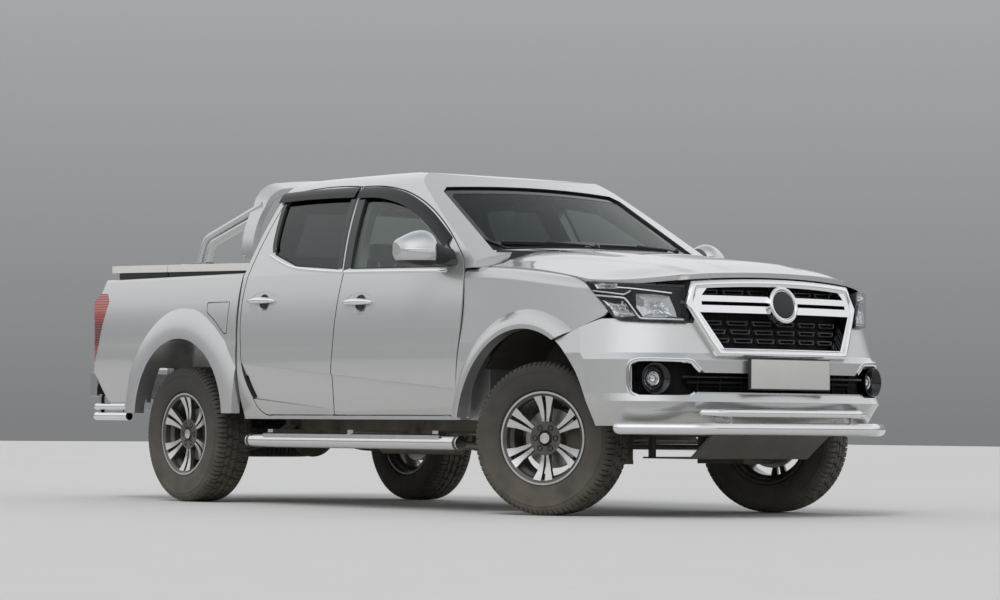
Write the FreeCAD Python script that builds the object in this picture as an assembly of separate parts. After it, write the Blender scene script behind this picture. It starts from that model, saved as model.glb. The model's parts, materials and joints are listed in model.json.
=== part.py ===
"""Double-cab pickup truck. Millimetres, +X forward, +Y left, +Z up, origin on the ground at mid length."""

import FreeCAD, Part
import math
import os

V = FreeCAD.Vector

# Driving dimensions of the whole truck
WHEELBASE = 3150.0
TRACK = 1570.0
FRONT_AXLE_X = 1690.0
REAR_AXLE_X = FRONT_AXLE_X - WHEELBASE
FRONT_END_X = 2656.0
REAR_END_X = -2656.0
PANEL_GAP = 6.0
SEAT_GAP = 0.3
STEER_AT_REST = 24.0

# Wheels and tyres
TYRE_R = 382.0
TYRE_WIDTH = 245.0
RIM_SEAT_R = 216.0
RIM_LIP_R = 232.0
RIM_WIDTH = 205.0
WHEEL_BORE_R = 34.0
SPOKE_PAIRS = 6
LUG_COUNT = 6
LUG_CIRCLE_R = 57.0
DISC_R = 148.0
DISC_THICK = 26.0
KINGPIN_INSET = 86.0

# Body side section: half widths at named heights
SILL_Z = 485.0
SILL_Y = 836.0
LOW_Z = 660.0
LOW_Y = 882.0
WAIST_Z = 860.0
WAIST_Y = 892.0
SHOULDER_Z = 1075.0
SHOULDER_Y = 883.0
BELT_Z = 1256.0
BELT_Y = 853.0
GLASS_MID_Z = 1500.0
GLASS_MID_Y = 765.0
CANT_Z = 1722.0
CANT_Y = 655.0
ROOF_EDGE_Z = 1796.0
ROOF_EDGE_Y = 470.0
ROOF_Z = 1815.0

# Walls
DOOR_THICK = 105.0
FRAME_THICK = 36.0
JAMB_THICK = 48.0
SKIN_THICK = 12.0
GLASS_THICK = 5.0
GLASS_INSET = 12.0

# Cab
CAB_REAR_X = -922.0
CAB_REAR_TOP_X = -792.0
CAB_FLOOR_Z = 470.0
CAB_FLOOR_THICK = 55.0
FIREWALL_X = 1215.0
COWL_X = 1182.0
COWL_TOP_Z = 1352.0
COWL_LOW_Z = 1188.0
TUNNEL_Y = 150.0
TUNNEL_TOP_Z = 640.0
CAB_CORNER_Y = 775.0
DOOR_FOOT_FRONT_X = 880.0
DOOR_FOOT_REAR_X = -160.0
DOOR_FOOT_Y = 790.0
DOOR_FOOT_Z = 518.0
DOOR_INSET = 26.0
SCREEN_R = 4000.0
SCREEN_LOW = (1265.0, 1339.0)
SCREEN_HIGH = (650.0, 1690.0)

# Front end
HOOD_THICK = 24.0
HOOD_REAR_X = 1192.0
HOOD_FRONT_X = 2500.0
ARCH_FRONT = (1652.0, 402.0, 523.0)
ARCH_REAR = (-1480.0, 470.0, 452.0)
FLARE_WIDTH = 96.0
REAR_FLARE_WIDTH = 172.0
FLARE_PROUD = 34.0
GRILLE_R = 2300.0
GRILLE_LOW = (2592.0, 790.0)
GRILLE_HIGH = (2502.0, 1200.0)
BUMPER_THICK = 30.0
BAY_RAIL_Y = 640.0

# Load bed
BED_FRONT_X = -938.0
BED_REAR_X = -2562.0
BED_TOP_Z = 1280.0
BED_FLOOR_Z = 800.0
BED_FLOOR_THICK = 40.0
BED_WALL_Y = 742.0
HOUSE_Y = 590.0
TAILGATE_THICK = 58.0
TAILGATE_HALF_W = 728.0
TAILGATE_LOW_Z = 806.0
HINGE_X = -2536.0
HINGE_Z = 824.0
COVER_THICK = 42.0
COVER_HALF_W = 800.0
COVER_SPLIT_X = -1790.0
COVER_TILT = 30.0
RAIL_THICK = 14.0

# Frame and running gear
RAIL_Y = 400.0
RAIL_WIDTH = 70.0
RAIL_HEIGHT = 120.0
RAIL_LOW_Z = 390.0
RAIL_FRONT_X = 2452.0
RAIL_TOP_MID_Z = 469.7
RAIL_TOP_FRONT_Z = 510.0
KICK_Z = 680.0
RAIL_REAR_TOP_Z = 590.0
KINGPIN_Y = 699.0
ARM_PIVOT_X = 165.0
TIE_EYE_R = 130.0
TIE_ROD_Z = 340.0
SPRING_Y = 482.0
SPARE_X = -2110.0
DRIVER_Y = 370.0

PARTS = "parts"


def flat_point(plane, a, b, at):
    """A point of a drawing in the XY, XZ or YZ plane, at a distance from it."""
    if plane == "XY":
        return V(a, b, at)
    if plane == "XZ":
        return V(a, at, b)
    return V(at, a, b)


def outline(items, plane, at=0.0):
    """A closed wire: (a, b) is a line to that point, ((ma, mb), (a, b)) an arc through the first to the second."""
    edges = []
    here = flat_point(plane, items[0][0], items[0][1], at)
    first = here
    for item in items[1:]:
        if isinstance(item[0], tuple):
            middle = flat_point(plane, item[0][0], item[0][1], at)
            there = flat_point(plane, item[1][0], item[1][1], at)
            if middle.sub(here).cross(there.sub(here)).Length < 1e-3:
                edges.append(Part.makeLine(here, there))
            else:
                edges.append(Part.Arc(here, middle, there).toShape())
        else:
            there = flat_point(plane, item[0], item[1], at)
            edges.append(Part.makeLine(here, there))
        here = there
    if here.distanceToPoint(first) > 1e-6:
        edges.append(Part.makeLine(here, first))
    return Part.Wire(edges)


def offset_wire(wire, grow):
    """The wire grown or shrunk in its plane, with sharp corners where they can be made."""
    for join in (2, 1, 0):
        try:
            return wire.makeOffset2D(grow, join)
        except ValueError:
            continue
    raise ValueError("the outline can't be offset")


def prism(items, plane, low, high, grow=0.0):
    """An outline drawn in a plane, grown or shrunk, and extruded from low to high along that plane's normal."""
    wire = outline(items, plane, low)
    if grow:
        wire = offset_wire(wire, grow)
    length = high - low
    along = {"XY": V(0, 0, length), "XZ": V(0, length, 0), "YZ": V(length, 0, 0)}[plane]
    return Part.Face(wire).extrude(along)


def box(x0, x1, y0, y1, z0, z1):
    return Part.makeBox(x1 - x0, y1 - y0, z1 - z0, V(x0, y0, z0))


def mirrored(shape):
    return shape.mirror(V(0, 0, 0), V(0, 1, 0))


def pair(shape):
    """The shape and its mirror image as one compound of separate solids."""
    return Part.makeCompound(shape.Solids + mirrored(shape).Solids)


def symmetric_items(right_half):
    """Closes a drawing of the right half in YZ, given as (half width, z) items from the bottom up to the centre."""
    def side(item, sign):
        return (sign * item[0], item[1])
    nodes = [right_half[0]]
    mids = []
    for item in right_half[1:]:
        is_arc = isinstance(item[0], tuple)
        mids.append(item[0] if is_arc else None)
        nodes.append(item[1] if is_arc else item)
    items = [side(nodes[0], -1)]
    for node, mid in zip(nodes[1:], mids):
        items.append((side(mid, -1), side(node, -1)) if mid else side(node, -1))
    top = nodes[-1]
    roof_mid = (0.0, top[1] if len(top) < 3 else top[2])
    items.append((roof_mid, side(top, 1)))
    for index in range(len(nodes) - 2, -1, -1):
        mid = mids[index]
        items.append((side(mid, 1), side(nodes[index], 1)) if mid else side(nodes[index], 1))
    return items


def pipe(points, radius, bend=0.0):
    """A round tube along straight runs, each corner rounded to the bend radius."""
    path = [V(*point) for point in points]
    start = path[0]
    runs = []
    for index in range(1, len(path)):
        corner = path[index]
        incoming = corner.sub(path[index - 1]).normalize()
        if index == len(path) - 1:
            runs.append(Part.makeCylinder(radius, start.distanceToPoint(corner), start, incoming))
            break
        outgoing = path[index + 1].sub(corner).normalize()
        turn = incoming.getAngle(outgoing)
        reach = bend * math.tan(turn / 2)
        leave = corner.sub(V(incoming).multiply(reach))
        axis = incoming.cross(outgoing).normalize()
        centre = leave.add(axis.cross(incoming).normalize().multiply(bend))
        runs.append(Part.makeCylinder(radius, start.distanceToPoint(leave), start, incoming))
        disc = Part.Face(Part.Wire(Part.makeCircle(radius, leave, incoming)))
        runs.append(disc.revolve(centre, axis, math.degrees(turn)))
        start = corner.add(V(outgoing).multiply(reach))
    return fuse(runs)


def rod(start, end, radius):
    a = V(*start)
    b = V(*end)
    return Part.makeCylinder(radius, a.distanceToPoint(b), a, b.sub(a))


def fuse(shapes):
    body = shapes[0].fuse(shapes[1:]) if len(shapes) > 1 else shapes[0]
    return body.removeSplitter()


def save(name, shape):
    shape.exportStep(os.path.join(PARTS, name + ".step"))


# Body envelope

def lower_side(inset):
    """Right half of the body side below the belt, from the sill up, moved in by the inset."""
    return [
        (SILL_Y - inset, SILL_Z),
        ((LOW_Y - inset, LOW_Z), (WAIST_Y - inset, WAIST_Z)),
        ((SHOULDER_Y - inset, SHOULDER_Z), (BELT_Y - inset, BELT_Z)),
    ]


def upper_side(inset):
    """Right half of the cab above the belt, up to the roof's centre."""
    return [
        ((GLASS_MID_Y - inset, GLASS_MID_Z), (CANT_Y - inset, CANT_Z - inset * 0.3)),
        ((590.0 - inset, 1772.0 - inset * 0.8), (ROOF_EDGE_Y - inset, ROOF_EDGE_Z - inset, ROOF_Z - inset)),
    ]


def cab_section(inset, low_y=None):
    """Closed section of the cab. With low_y the wall below the belt is a flat one at that half width."""
    if low_y is None:
        return symmetric_items(lower_side(inset) + upper_side(inset))
    foot = [(low_y, CAB_FLOOR_Z), (low_y, BELT_Z - 24.0), (BELT_Y - inset, BELT_Z)]
    return symmetric_items(foot + upper_side(inset))


def screen_cylinder(inset):
    """The large tilted cylinder whose surface is the windscreen, moved in by the inset."""
    low = V(SCREEN_LOW[0], 0, SCREEN_LOW[1])
    high = V(SCREEN_HIGH[0], 0, SCREEN_HIGH[1])
    along = high.sub(low).normalize()
    normal = V(along.z, 0, -along.x)
    centre = low.sub(V(normal).multiply(SCREEN_R))
    base = centre.sub(V(along).multiply(6000.0))
    return Part.makeCylinder(SCREEN_R - inset, 12000.0, base, along)


def cab_silhouette(inset, low_z):
    """Side view of the cab without the windscreen's cut."""
    return [
        (CAB_REAR_X + inset, low_z),
        (CAB_REAR_X + inset, BELT_Z),
        (CAB_REAR_TOP_X + inset, 1742.0 - inset),
        ((-760.0 + inset, 1778.0 - inset), (-690.0 + inset, 1792.0 - inset)),
        ((-100.0, ROOF_Z - inset), (640.0 - inset, 1745.0 - inset)),
        (1360.0 - inset, 1600.0),
        (1360.0 - inset, COWL_TOP_Z),
        (COWL_X - inset, COWL_TOP_Z),
        (COWL_X - inset, COWL_LOW_Z),
        (FIREWALL_X - inset, COWL_LOW_Z),
        (FIREWALL_X - inset, low_z),
    ]


def cab_solid(inset, low_z, low_y=None):
    """The cab's outer form, or an inner one that leaves a wall of that inset."""
    body = prism(cab_section(inset, low_y), "YZ", -1000.0, 1400.0)
    body = body.common(prism(cab_silhouette(inset, low_z), "XZ", -1000.0, 1000.0))
    return body.common(screen_cylinder(inset))


# Door outlines in side view. The split line is shared by both doors of a side.
SPLIT_LOW = (-53.0, 492.0)
SPLIT_MID = (-5.0, 880.0)
SPLIT_BELT = (36.0, 1250.0)
SPLIT_TOP = (-75.0, 1726.0)

FRONT_DOOR = [
    SPLIT_LOW,
    (SPLIT_MID, SPLIT_BELT),
    SPLIT_TOP,
    ((160.0, 1716.0), (380.0, 1676.0)),
    ((690.0, 1560.0), (1072.0, 1300.0)),
    (1100.0, 1244.0),
    ((1118.0, 1080.0), (1108.0, 900.0)),
    (1056.0, 560.0),
    ((1040.0, 512.0), (990.0, 492.0)),
]

REAR_DOOR = [
    SPLIT_LOW,
    (SPLIT_MID, SPLIT_BELT),
    SPLIT_TOP,
    ((-400.0, 1740.0), (-752.0, 1716.0)),
    (-880.0, 1262.0),
    ((-898.0, 1080.0), (-890.0, 900.0)),
    ((-864.0, 730.0), (-796.0, 590.0)),
    ((-736.0, 508.0), (-650.0, 492.0)),
]

FRONT_WINDOW = [
    (92.0, 1270.0),
    (920.0, 1254.0),
    (985.0, 1262.0),
    (1012.0, 1292.0),
    ((690.0, 1518.0), (380.0, 1636.0)),
    ((190.0, 1676.0), (-4.0, 1688.0)),
]

REAR_WINDOW = [
    (-24.0, 1272.0),
    (-430.0, 1300.0),
    (-668.0, 1372.0),
    (-690.0, 1412.0),
    (-740.0, 1632.0),
    ((-740.0, 1672.0), (-706.0, 1688.0)),
    ((-420.0, 1704.0), (-128.0, 1690.0)),
]

# The cab's own openings behind the doors leave the centre pillar, the sill and the cant rail.
FRONT_OPENING = [
    (55.0, 560.0),
    (120.0, 1250.0),
    (20.0, 1670.0),
    (380.0, 1608.0),
    (1010.0, 1240.0),
    (1010.0, 700.0),
    (900.0, 560.0),
]

REAR_OPENING = [
    (-140.0, 560.0),
    (-60.0, 1250.0),
    (-150.0, 1676.0),
    (-640.0, 1676.0),
    (-790.0, 1240.0),
    (-790.0, 860.0),
    (-620.0, 560.0),
]


def cab_shell():
    outer = cab_solid(0.0, CAB_FLOOR_Z)
    outer = outer.fuse(box(CAB_REAR_X, FIREWALL_X, -SILL_Y, SILL_Y, CAB_FLOOR_Z, SILL_Z)).removeSplitter()
    wall = FRAME_THICK + PANEL_GAP + JAMB_THICK
    low_wall_y = WAIST_Y - DOOR_THICK - PANEL_GAP - JAMB_THICK
    inner = cab_solid(wall, CAB_FLOOR_Z + CAB_FLOOR_THICK, low_wall_y)
    shell = outer.cut(inner)
    shell = shell.fuse(box(CAB_REAR_X + 40, FIREWALL_X - 40, -TUNNEL_Y - 15, TUNNEL_Y + 15, CAB_FLOOR_Z + 20,
                           TUNNEL_TOP_Z + 15))
    shell = shell.cut(box(CAB_REAR_X - 5, FIREWALL_X + 5, -TUNNEL_Y, TUNNEL_Y, CAB_FLOOR_Z - 10, TUNNEL_TOP_Z))
    door_plug = cab_solid(FRAME_THICK + PANEL_GAP, CAB_FLOOR_Z, WAIST_Y - DOOR_THICK - PANEL_GAP)
    for items in (FRONT_DOOR, REAR_DOOR):
        hole = prism(items, "XZ", -1000.0, 1000.0, PANEL_GAP / 2)
        shell = shell.cut(hole.cut(door_plug))
    for items in (FRONT_OPENING, REAR_OPENING):
        shell = shell.cut(prism(items, "XZ", -1000.0, 1000.0))
    shell = shell.cut(prism(WINDSCREEN, "YZ", 400.0, 1500.0))
    shell = shell.cut(prism(BACKLIGHT, "YZ", -1100.0, -600.0))
    for x in (DOOR_FOOT_FRONT_X, DOOR_FOOT_REAR_X):
        foot = box(x, x + 60.0, -820.0, -DOOR_FOOT_Y + 20.0, SILL_Z - 10.0, DOOR_FOOT_Z - SEAT_GAP)
        shell = shell.fuse([foot, mirrored(foot)])
    wing_zone = prism(FENDER_ZONE, "XZ", -1000.0, 1000.0)
    core = box(-1000, 2000, -CAB_CORNER_Y, CAB_CORNER_Y, 0, 2000)
    shell = shell.cut(wing_zone.cut(core))
    return shell.removeSplitter()


WINDSCREEN = [
    (-700.0, 1340.0),
    (-606.0, 1672.0),
    (-560.0, 1700.0),
    ((0.0, 1716.0), (560.0, 1700.0)),
    (606.0, 1672.0),
    (700.0, 1340.0),
    ((0.0, 1366.0), (-700.0, 1340.0)),
]

BACKLIGHT = [
    (-600.0, 1352.0),
    (-560.0, 1640.0),
    ((0.0, 1660.0), (560.0, 1640.0)),
    (600.0, 1352.0),
]

# Where the front wing's skin lies over the cab's corner ahead of the door
FENDER_ZONE = [
    (1050.0, CAB_FLOOR_Z - 10),
    (1056.0, 560.0),
    (1108.0, 900.0),
    ((1118.0, 1080.0), (1100.0, 1244.0)),
    (1400.0, 1250.0),
    (1400.0, CAB_FLOOR_Z - 10),
]


def cab_glass():
    """Windscreen and rear window, each seated just inside its opening."""
    band = cab_solid(GLASS_INSET, CAB_FLOOR_Z).cut(cab_solid(GLASS_INSET + GLASS_THICK, CAB_FLOOR_Z))
    screen = band.common(prism(WINDSCREEN, "YZ", 400.0, 1500.0, -SEAT_GAP))
    back = band.common(prism(BACKLIGHT, "YZ", -1100.0, -600.0, -SEAT_GAP))
    return Part.makeCompound(screen.Solids + back.Solids)


HANDLE_FRONT = (228.0, 1085.0)
HANDLE_REAR = (-682.0, 1114.0)
HANDLE_HOLLOW_R = 96.0
HANDLE_HOLLOW_DEPTH = 15.0
CREASE_REAR = (-950.0, 782.0)
CREASE_FRONT = (1150.0, 619.0)
CREASE_DEPTH = 7.0


def handle_hollow(place):
    """The round hollow in a door's skin behind its handle."""
    x, z = place
    depth = SHOULDER_Y - 4.0 + HANDLE_HOLLOW_R - HANDLE_HOLLOW_DEPTH
    return Part.makeSphere(HANDLE_HOLLOW_R, V(x, -depth, z))


def door_tuck():
    """The wedge taken off the doors below their crease, fading out above the sill."""
    wires = []
    for x, z in (CREASE_REAR, CREASE_FRONT):
        fall = (WAIST_Z - z) / (WAIST_Z - SILL_Z)
        skin = WAIST_Y - (WAIST_Y - SILL_Y) * fall * fall
        wires.append(outline([
            (-(WAIST_Y + 30.0), z),
            (-(skin + 1.0), z),
            (-(skin - CREASE_DEPTH - 4.0), z - 60.0),
            (-(skin - 34.0), z - 190.0),
            (-(WAIST_Y + 30.0), z - 190.0),
        ], "YZ", x))
    return Part.makeLoft(wires, True, True)


def door(items, window, handle):
    """A right-hand door: a skin to the outline, a thicker plug set in from it, and its window cut."""
    outer = cab_solid(0.0, CAB_FLOOR_Z)
    half = box(-1000, 1400, -1000, 0, 0, 2000)
    skin = outer.cut(cab_solid(SKIN_THICK, CAB_FLOOR_Z)).common(half)
    skin = skin.common(prism(items, "XZ", -1000.0, 0.0, -PANEL_GAP / 2))
    plug = outer.cut(cab_solid(FRAME_THICK, CAB_FLOOR_Z, WAIST_Y - DOOR_THICK)).common(half)
    plug = plug.common(prism(items, "XZ", -1000.0, 0.0, -DOOR_INSET))
    leaf = skin.fuse(plug)
    leaf = leaf.cut(prism(window, "XZ", -1000.0, 0.0))
    leaf = leaf.cut(door_tuck())
    leaf = leaf.cut(handle_hollow(handle))
    return leaf.removeSplitter()


def door_glass(window):
    band = cab_solid(GLASS_INSET, CAB_FLOOR_Z).cut(cab_solid(GLASS_INSET + GLASS_THICK, CAB_FLOOR_Z))
    half = box(-1000, 1400, -1000, 0, BELT_Z - 30, 2000)
    return band.common(half).common(prism(window, "XZ", -1000.0, 0.0, -SEAT_GAP))


MIRROR_SECTIONS = [
    # y, low z, high z, rear x, front x
    (-918.0, 1262.0, 1404.0, 800.0, 968.0),
    (-965.0, 1256.0, 1420.0, 792.0, 992.0),
    (-1030.0, 1262.0, 1412.0, 796.0, 968.0),
    (-1080.0, 1280.0, 1394.0, 806.0, 930.0),
    (-1104.0, 1304.0, 1376.0, 818.0, 884.0),
]


def mirror():
    """Right-hand door mirror: a foot on the door's corner and a rounded head, flat behind for the glass."""
    wires = []
    for y, low, high, rear, front in MIRROR_SECTIONS:
        mid = (low + high) / 2
        wires.append(outline([
            (rear, low + 14.0),
            (rear, high - 14.0),
            ((rear + 6.0, high - 4.0), (rear + 22.0, high)),
            ((front - 14.0, high - (high - mid) * 0.42), (front, mid)),
            ((front - 10.0, low + (mid - low) * 0.3), (front - 40.0, low)),
            (rear + 14.0, low),
        ], "XZ", y))
    head = Part.makeLoft(wires, True, False)
    foot = Part.makeLoft([
        outline([(935, 1262), (935, 1292), (1030, 1292), (1040, 1262)], "XZ", -842.0),
        outline([(880, 1266), (880, 1300), (955, 1300), (960, 1266)], "XZ", -940.0),
    ], True, True)
    arm = foot.cut(cab_solid(0.0, CAB_FLOOR_Z))
    return fuse([head, arm])


# Front wings

def flare(arch, y_skin, from_z, width):
    """The arch's raised lip on the right side: a revolved lip that blends back into the skin."""
    x, z, r = arch
    profile = Part.Face(outline([
        (r, -(y_skin + FLARE_PROUD)),
        (r + 22.0, -(y_skin + FLARE_PROUD)),
        ((r + width * 0.6, -(y_skin + FLARE_PROUD * 0.66)), (r + width, -(y_skin - 4.0))),
        (r + width, -(y_skin - 30.0)),
        (r, -(y_skin - 30.0)),
    ], "XY"))
    profile.translate(V(x, 0, z))
    ring = profile.revolve(V(x, 0, z), V(0, 1, 0), 360.0)
    return ring.common(box(x - 900, x + 900, -1000, 0, from_z, 2000))


FENDER_SECTIONS = [
    # x, sill half width, waist half width, shoulder half width, shoulder z, top half width, top z
    (1040.0, 838.0, 892.0, 868.0, 1190.0, 786.0, 1246.0),
    (1500.0, 838.0, 892.0, 868.0, 1176.0, 792.0, 1228.0),
    (1950.0, 838.0, 892.0, 872.0, 1128.0, 812.0, 1180.0),
    (2330.0, 800.0, 826.0, 800.0, 1100.0, 740.0, 1142.0),
]


def fender_loft(inset):
    wires = []
    for x, sill, waist, shoulder, shoulder_z, top, top_z in FENDER_SECTIONS:
        wires.append(outline([
            (-(sill - inset), 440.0),
            ((-(waist - 8.0 - inset), 640.0), (-(waist - inset), 860.0)),
            (-(shoulder - inset), shoulder_z),
            ((-(shoulder - 22.0 - inset), (shoulder_z + top_z) / 2 + 12.0 - inset / 2), (-(top - inset), top_z - inset)),
            (-600.0, top_z - inset),
            (-600.0, 440.0),
        ], "YZ", x))
    return Part.makeLoft(wires, True, False)


FENDER_OUTLINE = [
    (1100.0, 1262.0),
    (1100.0, 1244.0),
    ((1118.0, 1080.0), (1108.0, 900.0)),
    (1056.0, 560.0),
    (1056.0, 478.0),
    (1240.0, 478.0),
    (1700.0, 800.0),
    (1905.0, 866.0),
    (2206.0, 976.0),
    (2232.0, 1001.0),
    (2084.5, 1150.5),
    (2072.0, 1180.0),
    (2060.0, 1262.0),
]


def fender():
    skin = fender_loft(0.0).cut(fender_loft(SKIN_THICK))
    lip = flare(ARCH_FRONT, WAIST_Y - 2.0, 478.0, FLARE_WIDTH)
    body = skin.fuse(lip)
    body = body.common(prism(FENDER_OUTLINE, "XZ", -1000.0, -600.0, -PANEL_GAP / 2))
    x, z, r = ARCH_FRONT
    body = body.cut(Part.makeCylinder(r, 1200.0, V(x, -1200.0, z), V(0, 1, 0)))
    body = body.cut(hood_zone(PANEL_GAP))
    body = body.cut(box(900, 2500, -CAB_CORNER_Y - SEAT_GAP, 0, 0, 2000))
    body = body.cut(cab_solid(-PANEL_GAP, CAB_FLOOR_Z).common(box(1000, 1400, -1000, 0, 1240, 1400)))
    for x in (1500.0, 1960.0):
        body = body.fuse(box(x, x + 60, -870.0, -BAY_RAIL_Y - SEAT_GAP, 1048.0, 1072.0))
    return body.removeSplitter()


HOOD_PLAN = [
    (HOOD_REAR_X, -755.0),
    (1300.0, -782.0),
    ((1800.0, -812.0), (2075.0, -846.0)),
    ((2290.0, -770.0), (2432.0, -574.0)),
    (2462.0, -512.0),
    ((2515.0, 0.0), (2462.0, 512.0)),
    (2432.0, 574.0),
    ((2290.0, 770.0), (2075.0, 846.0)),
    ((1800.0, 812.0), (1300.0, 782.0)),
    (HOOD_REAR_X, 755.0),
    ((HOOD_REAR_X + 70.0, 0.0), (HOOD_REAR_X, -755.0)),
]

HOOD_SECTIONS = [
    # x, edge z at the side, shoulder z, centre z
    (1150.0, 1232.0, 1282.0, 1306.0),
    (1600.0, 1212.0, 1266.0, 1292.0),
    (2075.0, 1158.0, 1218.0, 1250.0),
    (2300.0, 1130.0, 1192.0, 1228.0),
    (2540.0, 1094.0, 1174.0, 1200.0),
]
HOOD_EDGE_Y = 862.0
HOOD_SHOULDER_Y = 560.0


def hood_solid(drop, thick):
    wires = []
    for x, edge_z, shoulder_z, centre_z in HOOD_SECTIONS:
        edge = edge_z - drop
        shoulder = shoulder_z - drop
        centre = centre_z - drop
        mid_y = (HOOD_EDGE_Y + HOOD_SHOULDER_Y) / 2
        mid_z = edge + (shoulder - edge) * 0.62
        wires.append(outline([
            (-HOOD_EDGE_Y, edge),
            ((-mid_y, mid_z), (-HOOD_SHOULDER_Y, shoulder)),
            ((0.0, centre), (HOOD_SHOULDER_Y, shoulder)),
            ((mid_y, mid_z), (HOOD_EDGE_Y, edge)),
            (HOOD_EDGE_Y, edge - thick),
            (-HOOD_EDGE_Y, edge - thick),
        ], "YZ", x))
    return Part.makeLoft(wires, True, False)


def hood_zone(gap):
    """The column of space over the hood's outline, with a gap round it."""
    return prism(HOOD_PLAN, "XY", 1040.0, 1500.0, gap)


def hood():
    panel = hood_solid(0.0, 80.0).cut(hood_solid(HOOD_THICK, 400.0))
    panel = panel.common(prism(HOOD_PLAN, "XY", 1000.0, 1500.0, -SEAT_GAP))
    panel = panel.cut(grille_block(5.0))
    return panel.removeSplitter()


def headlamp_band(grow):
    """The wrapped lamp body in plan, from the wing round to the grille."""
    return prism([
        (2060.0, -884.0 - grow),
        ((2300.0 + grow * 0.7, -806.0 - grow * 0.7), (2500.0 + grow, -540.0)),
        (2380.0, -540.0),
        ((2230.0, -720.0), (2060.0, -780.0)),
    ], "XY", 900.0, 1250.0)


HEADLAMP_SIDE = [
    (2086.0, 1152.0),
    (2236.0, 1000.0),
    ((2262.0, 966.0), (2300.0, 956.0)),
    (2500.0, 944.0),
    (2478.0, 1074.0),
    (2486.0, 1130.0),
]


def headlamp():
    lamp = headlamp_band(0.0).common(prism(HEADLAMP_SIDE, "XZ", -1000.0, 0.0, -1.0))
    under_hood = hood_solid(-PANEL_GAP, 300.0).cut(hood_solid(HOOD_THICK + PANEL_GAP, 400.0))
    lamp = lamp.cut(under_hood.common(hood_zone(PANEL_GAP)))
    return lamp.cut(grille_block(3.0))


# Front bumper

BUMPER_LEVELS = [
    # z, centre x, corner x, corner half width, side half width, x where the side starts to turn
    (446.0, 2560.0, 2490.0, 560.0, 880.0, 2130.0),
    (520.0, 2596.0, 2526.0, 590.0, 900.0, 2150.0),
    (566.0, 2622.0, 2556.0, 620.0, 912.0, 2150.0),
    (604.0, 2600.0, 2530.0, 610.0, 916.0, 2150.0),
    (768.0, 2602.0, 2524.0, 610.0, 920.0, 2140.0),
    (800.0, 2580.0, 2502.0, 590.0, 919.0, 2110.0),
    (966.0, 2530.0, 2470.0, 560.0, 885.0, 2060.0),
]
BUMPER_REAR_X = 1880.0
BUMPER_BULGE = 0.60


def bumper_block(inset):
    wires = []
    for z, centre_x, corner_x, corner_y, side_y, turn_x in BUMPER_LEVELS:
        cx = centre_x - inset
        kx = corner_x - inset
        ky = corner_y - inset * 0.5
        sy = side_y - inset
        mid = (turn_x + (kx - turn_x) * 0.66, -(ky + (sy - ky) * BUMPER_BULGE))
        wires.append(outline([
            (BUMPER_REAR_X, -sy),
            (turn_x, -sy),
            (mid, (kx, -ky)),
            ((cx, 0.0), (kx, ky)),
            ((mid[0], -mid[1]), (turn_x, sy)),
            (BUMPER_REAR_X, sy),
        ], "XY", z))
    return Part.makeLoft(wires, True, True)


INTAKE = [
    (-812.0, 610.0),
    (-812.0, 742.0),
    (-790.0, 756.0),
    (-560.0, 756.0),
    (-500.0, 706.0),
    (500.0, 706.0),
    (560.0, 756.0),
    (790.0, 756.0),
    (812.0, 742.0),
    (812.0, 610.0),
    (790.0, 596.0),
    (560.0, 596.0),
    (540.0, 612.0),
    (-540.0, 612.0),
    (-560.0, 596.0),
    (-790.0, 596.0),
]

BUMPER_SIDE = [
    (BUMPER_REAR_X, 430.0),
    (BUMPER_REAR_X, 858.0),
    (BUMPER_REAR_X + 25.0, 866.0),
    (2206.0, 976.0),
    (2700.0, 976.0),
    (2700.0, 430.0),
]


def front_bumper():
    shell = bumper_block(0.0).cut(bumper_block(BUMPER_THICK))
    shell = shell.common(prism(BUMPER_SIDE, "XZ", -1000.0, 1000.0, -PANEL_GAP / 2))
    lamp_room = prism(HEADLAMP_SIDE, "XZ", -1000.0, 1000.0, SEAT_GAP - 1.0)
    shell = shell.cut(lamp_room)
    shell = shell.cut(prism(INTAKE, "YZ", 2300.0, 2800.0))
    shell = shell.cut(grille_block(SEAT_GAP))
    for y in (-RAIL_Y, RAIL_Y):
        shell = shell.fuse(box(RAIL_FRONT_X + SEAT_GAP, 2550, y - 30, y + 30, 442, 500))
    x, z, r = ARCH_FRONT
    shell = shell.cut(Part.makeCylinder(r, 2400.0, V(x, -1200.0, z), V(0, 1, 0)))
    return shell.removeSplitter()


# Grille

def grille_cylinder(inset):
    """The large upright cylinder, tilted back, whose surface is the grille's face."""
    low = V(GRILLE_LOW[0], 0, GRILLE_LOW[1])
    high = V(GRILLE_HIGH[0], 0, GRILLE_HIGH[1])
    along = high.sub(low).normalize()
    normal = V(along.z, 0, -along.x)
    centre = low.sub(V(normal).multiply(GRILLE_R))
    return Part.makeCylinder(GRILLE_R - inset, 3000.0, centre.sub(V(along).multiply(1500.0)), along)


GRILLE_OUTER = [
    (-428.0, 786.0),
    (-566.0, 1040.0),
    (-516.0, 1150.0),
    ((0.0, 1170.0), (516.0, 1150.0)),
    (566.0, 1040.0),
    (428.0, 786.0),
]
GRILLE_TOP_SLOT = [
    (-470.0, 1084.0),
    (-432.0, 1124.0),
    ((0.0, 1142.0), (432.0, 1124.0)),
    (470.0, 1084.0),
]
GRILLE_THIN_SLOT = [(-476.0, 1036.0), (-476.0, 1054.0), (476.0, 1054.0), (476.0, 1036.0)]
GRILLE_MAIN = [
    (-386.0, 826.0),
    (-492.0, 1000.0),
    (492.0, 1000.0),
    (386.0, 826.0),
]
BADGE_R = 92.0
BADGE_Z = 1038.0


def grille_block(grow):
    return prism(GRILLE_OUTER, "YZ", 2300.0, 2800.0, grow)


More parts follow.
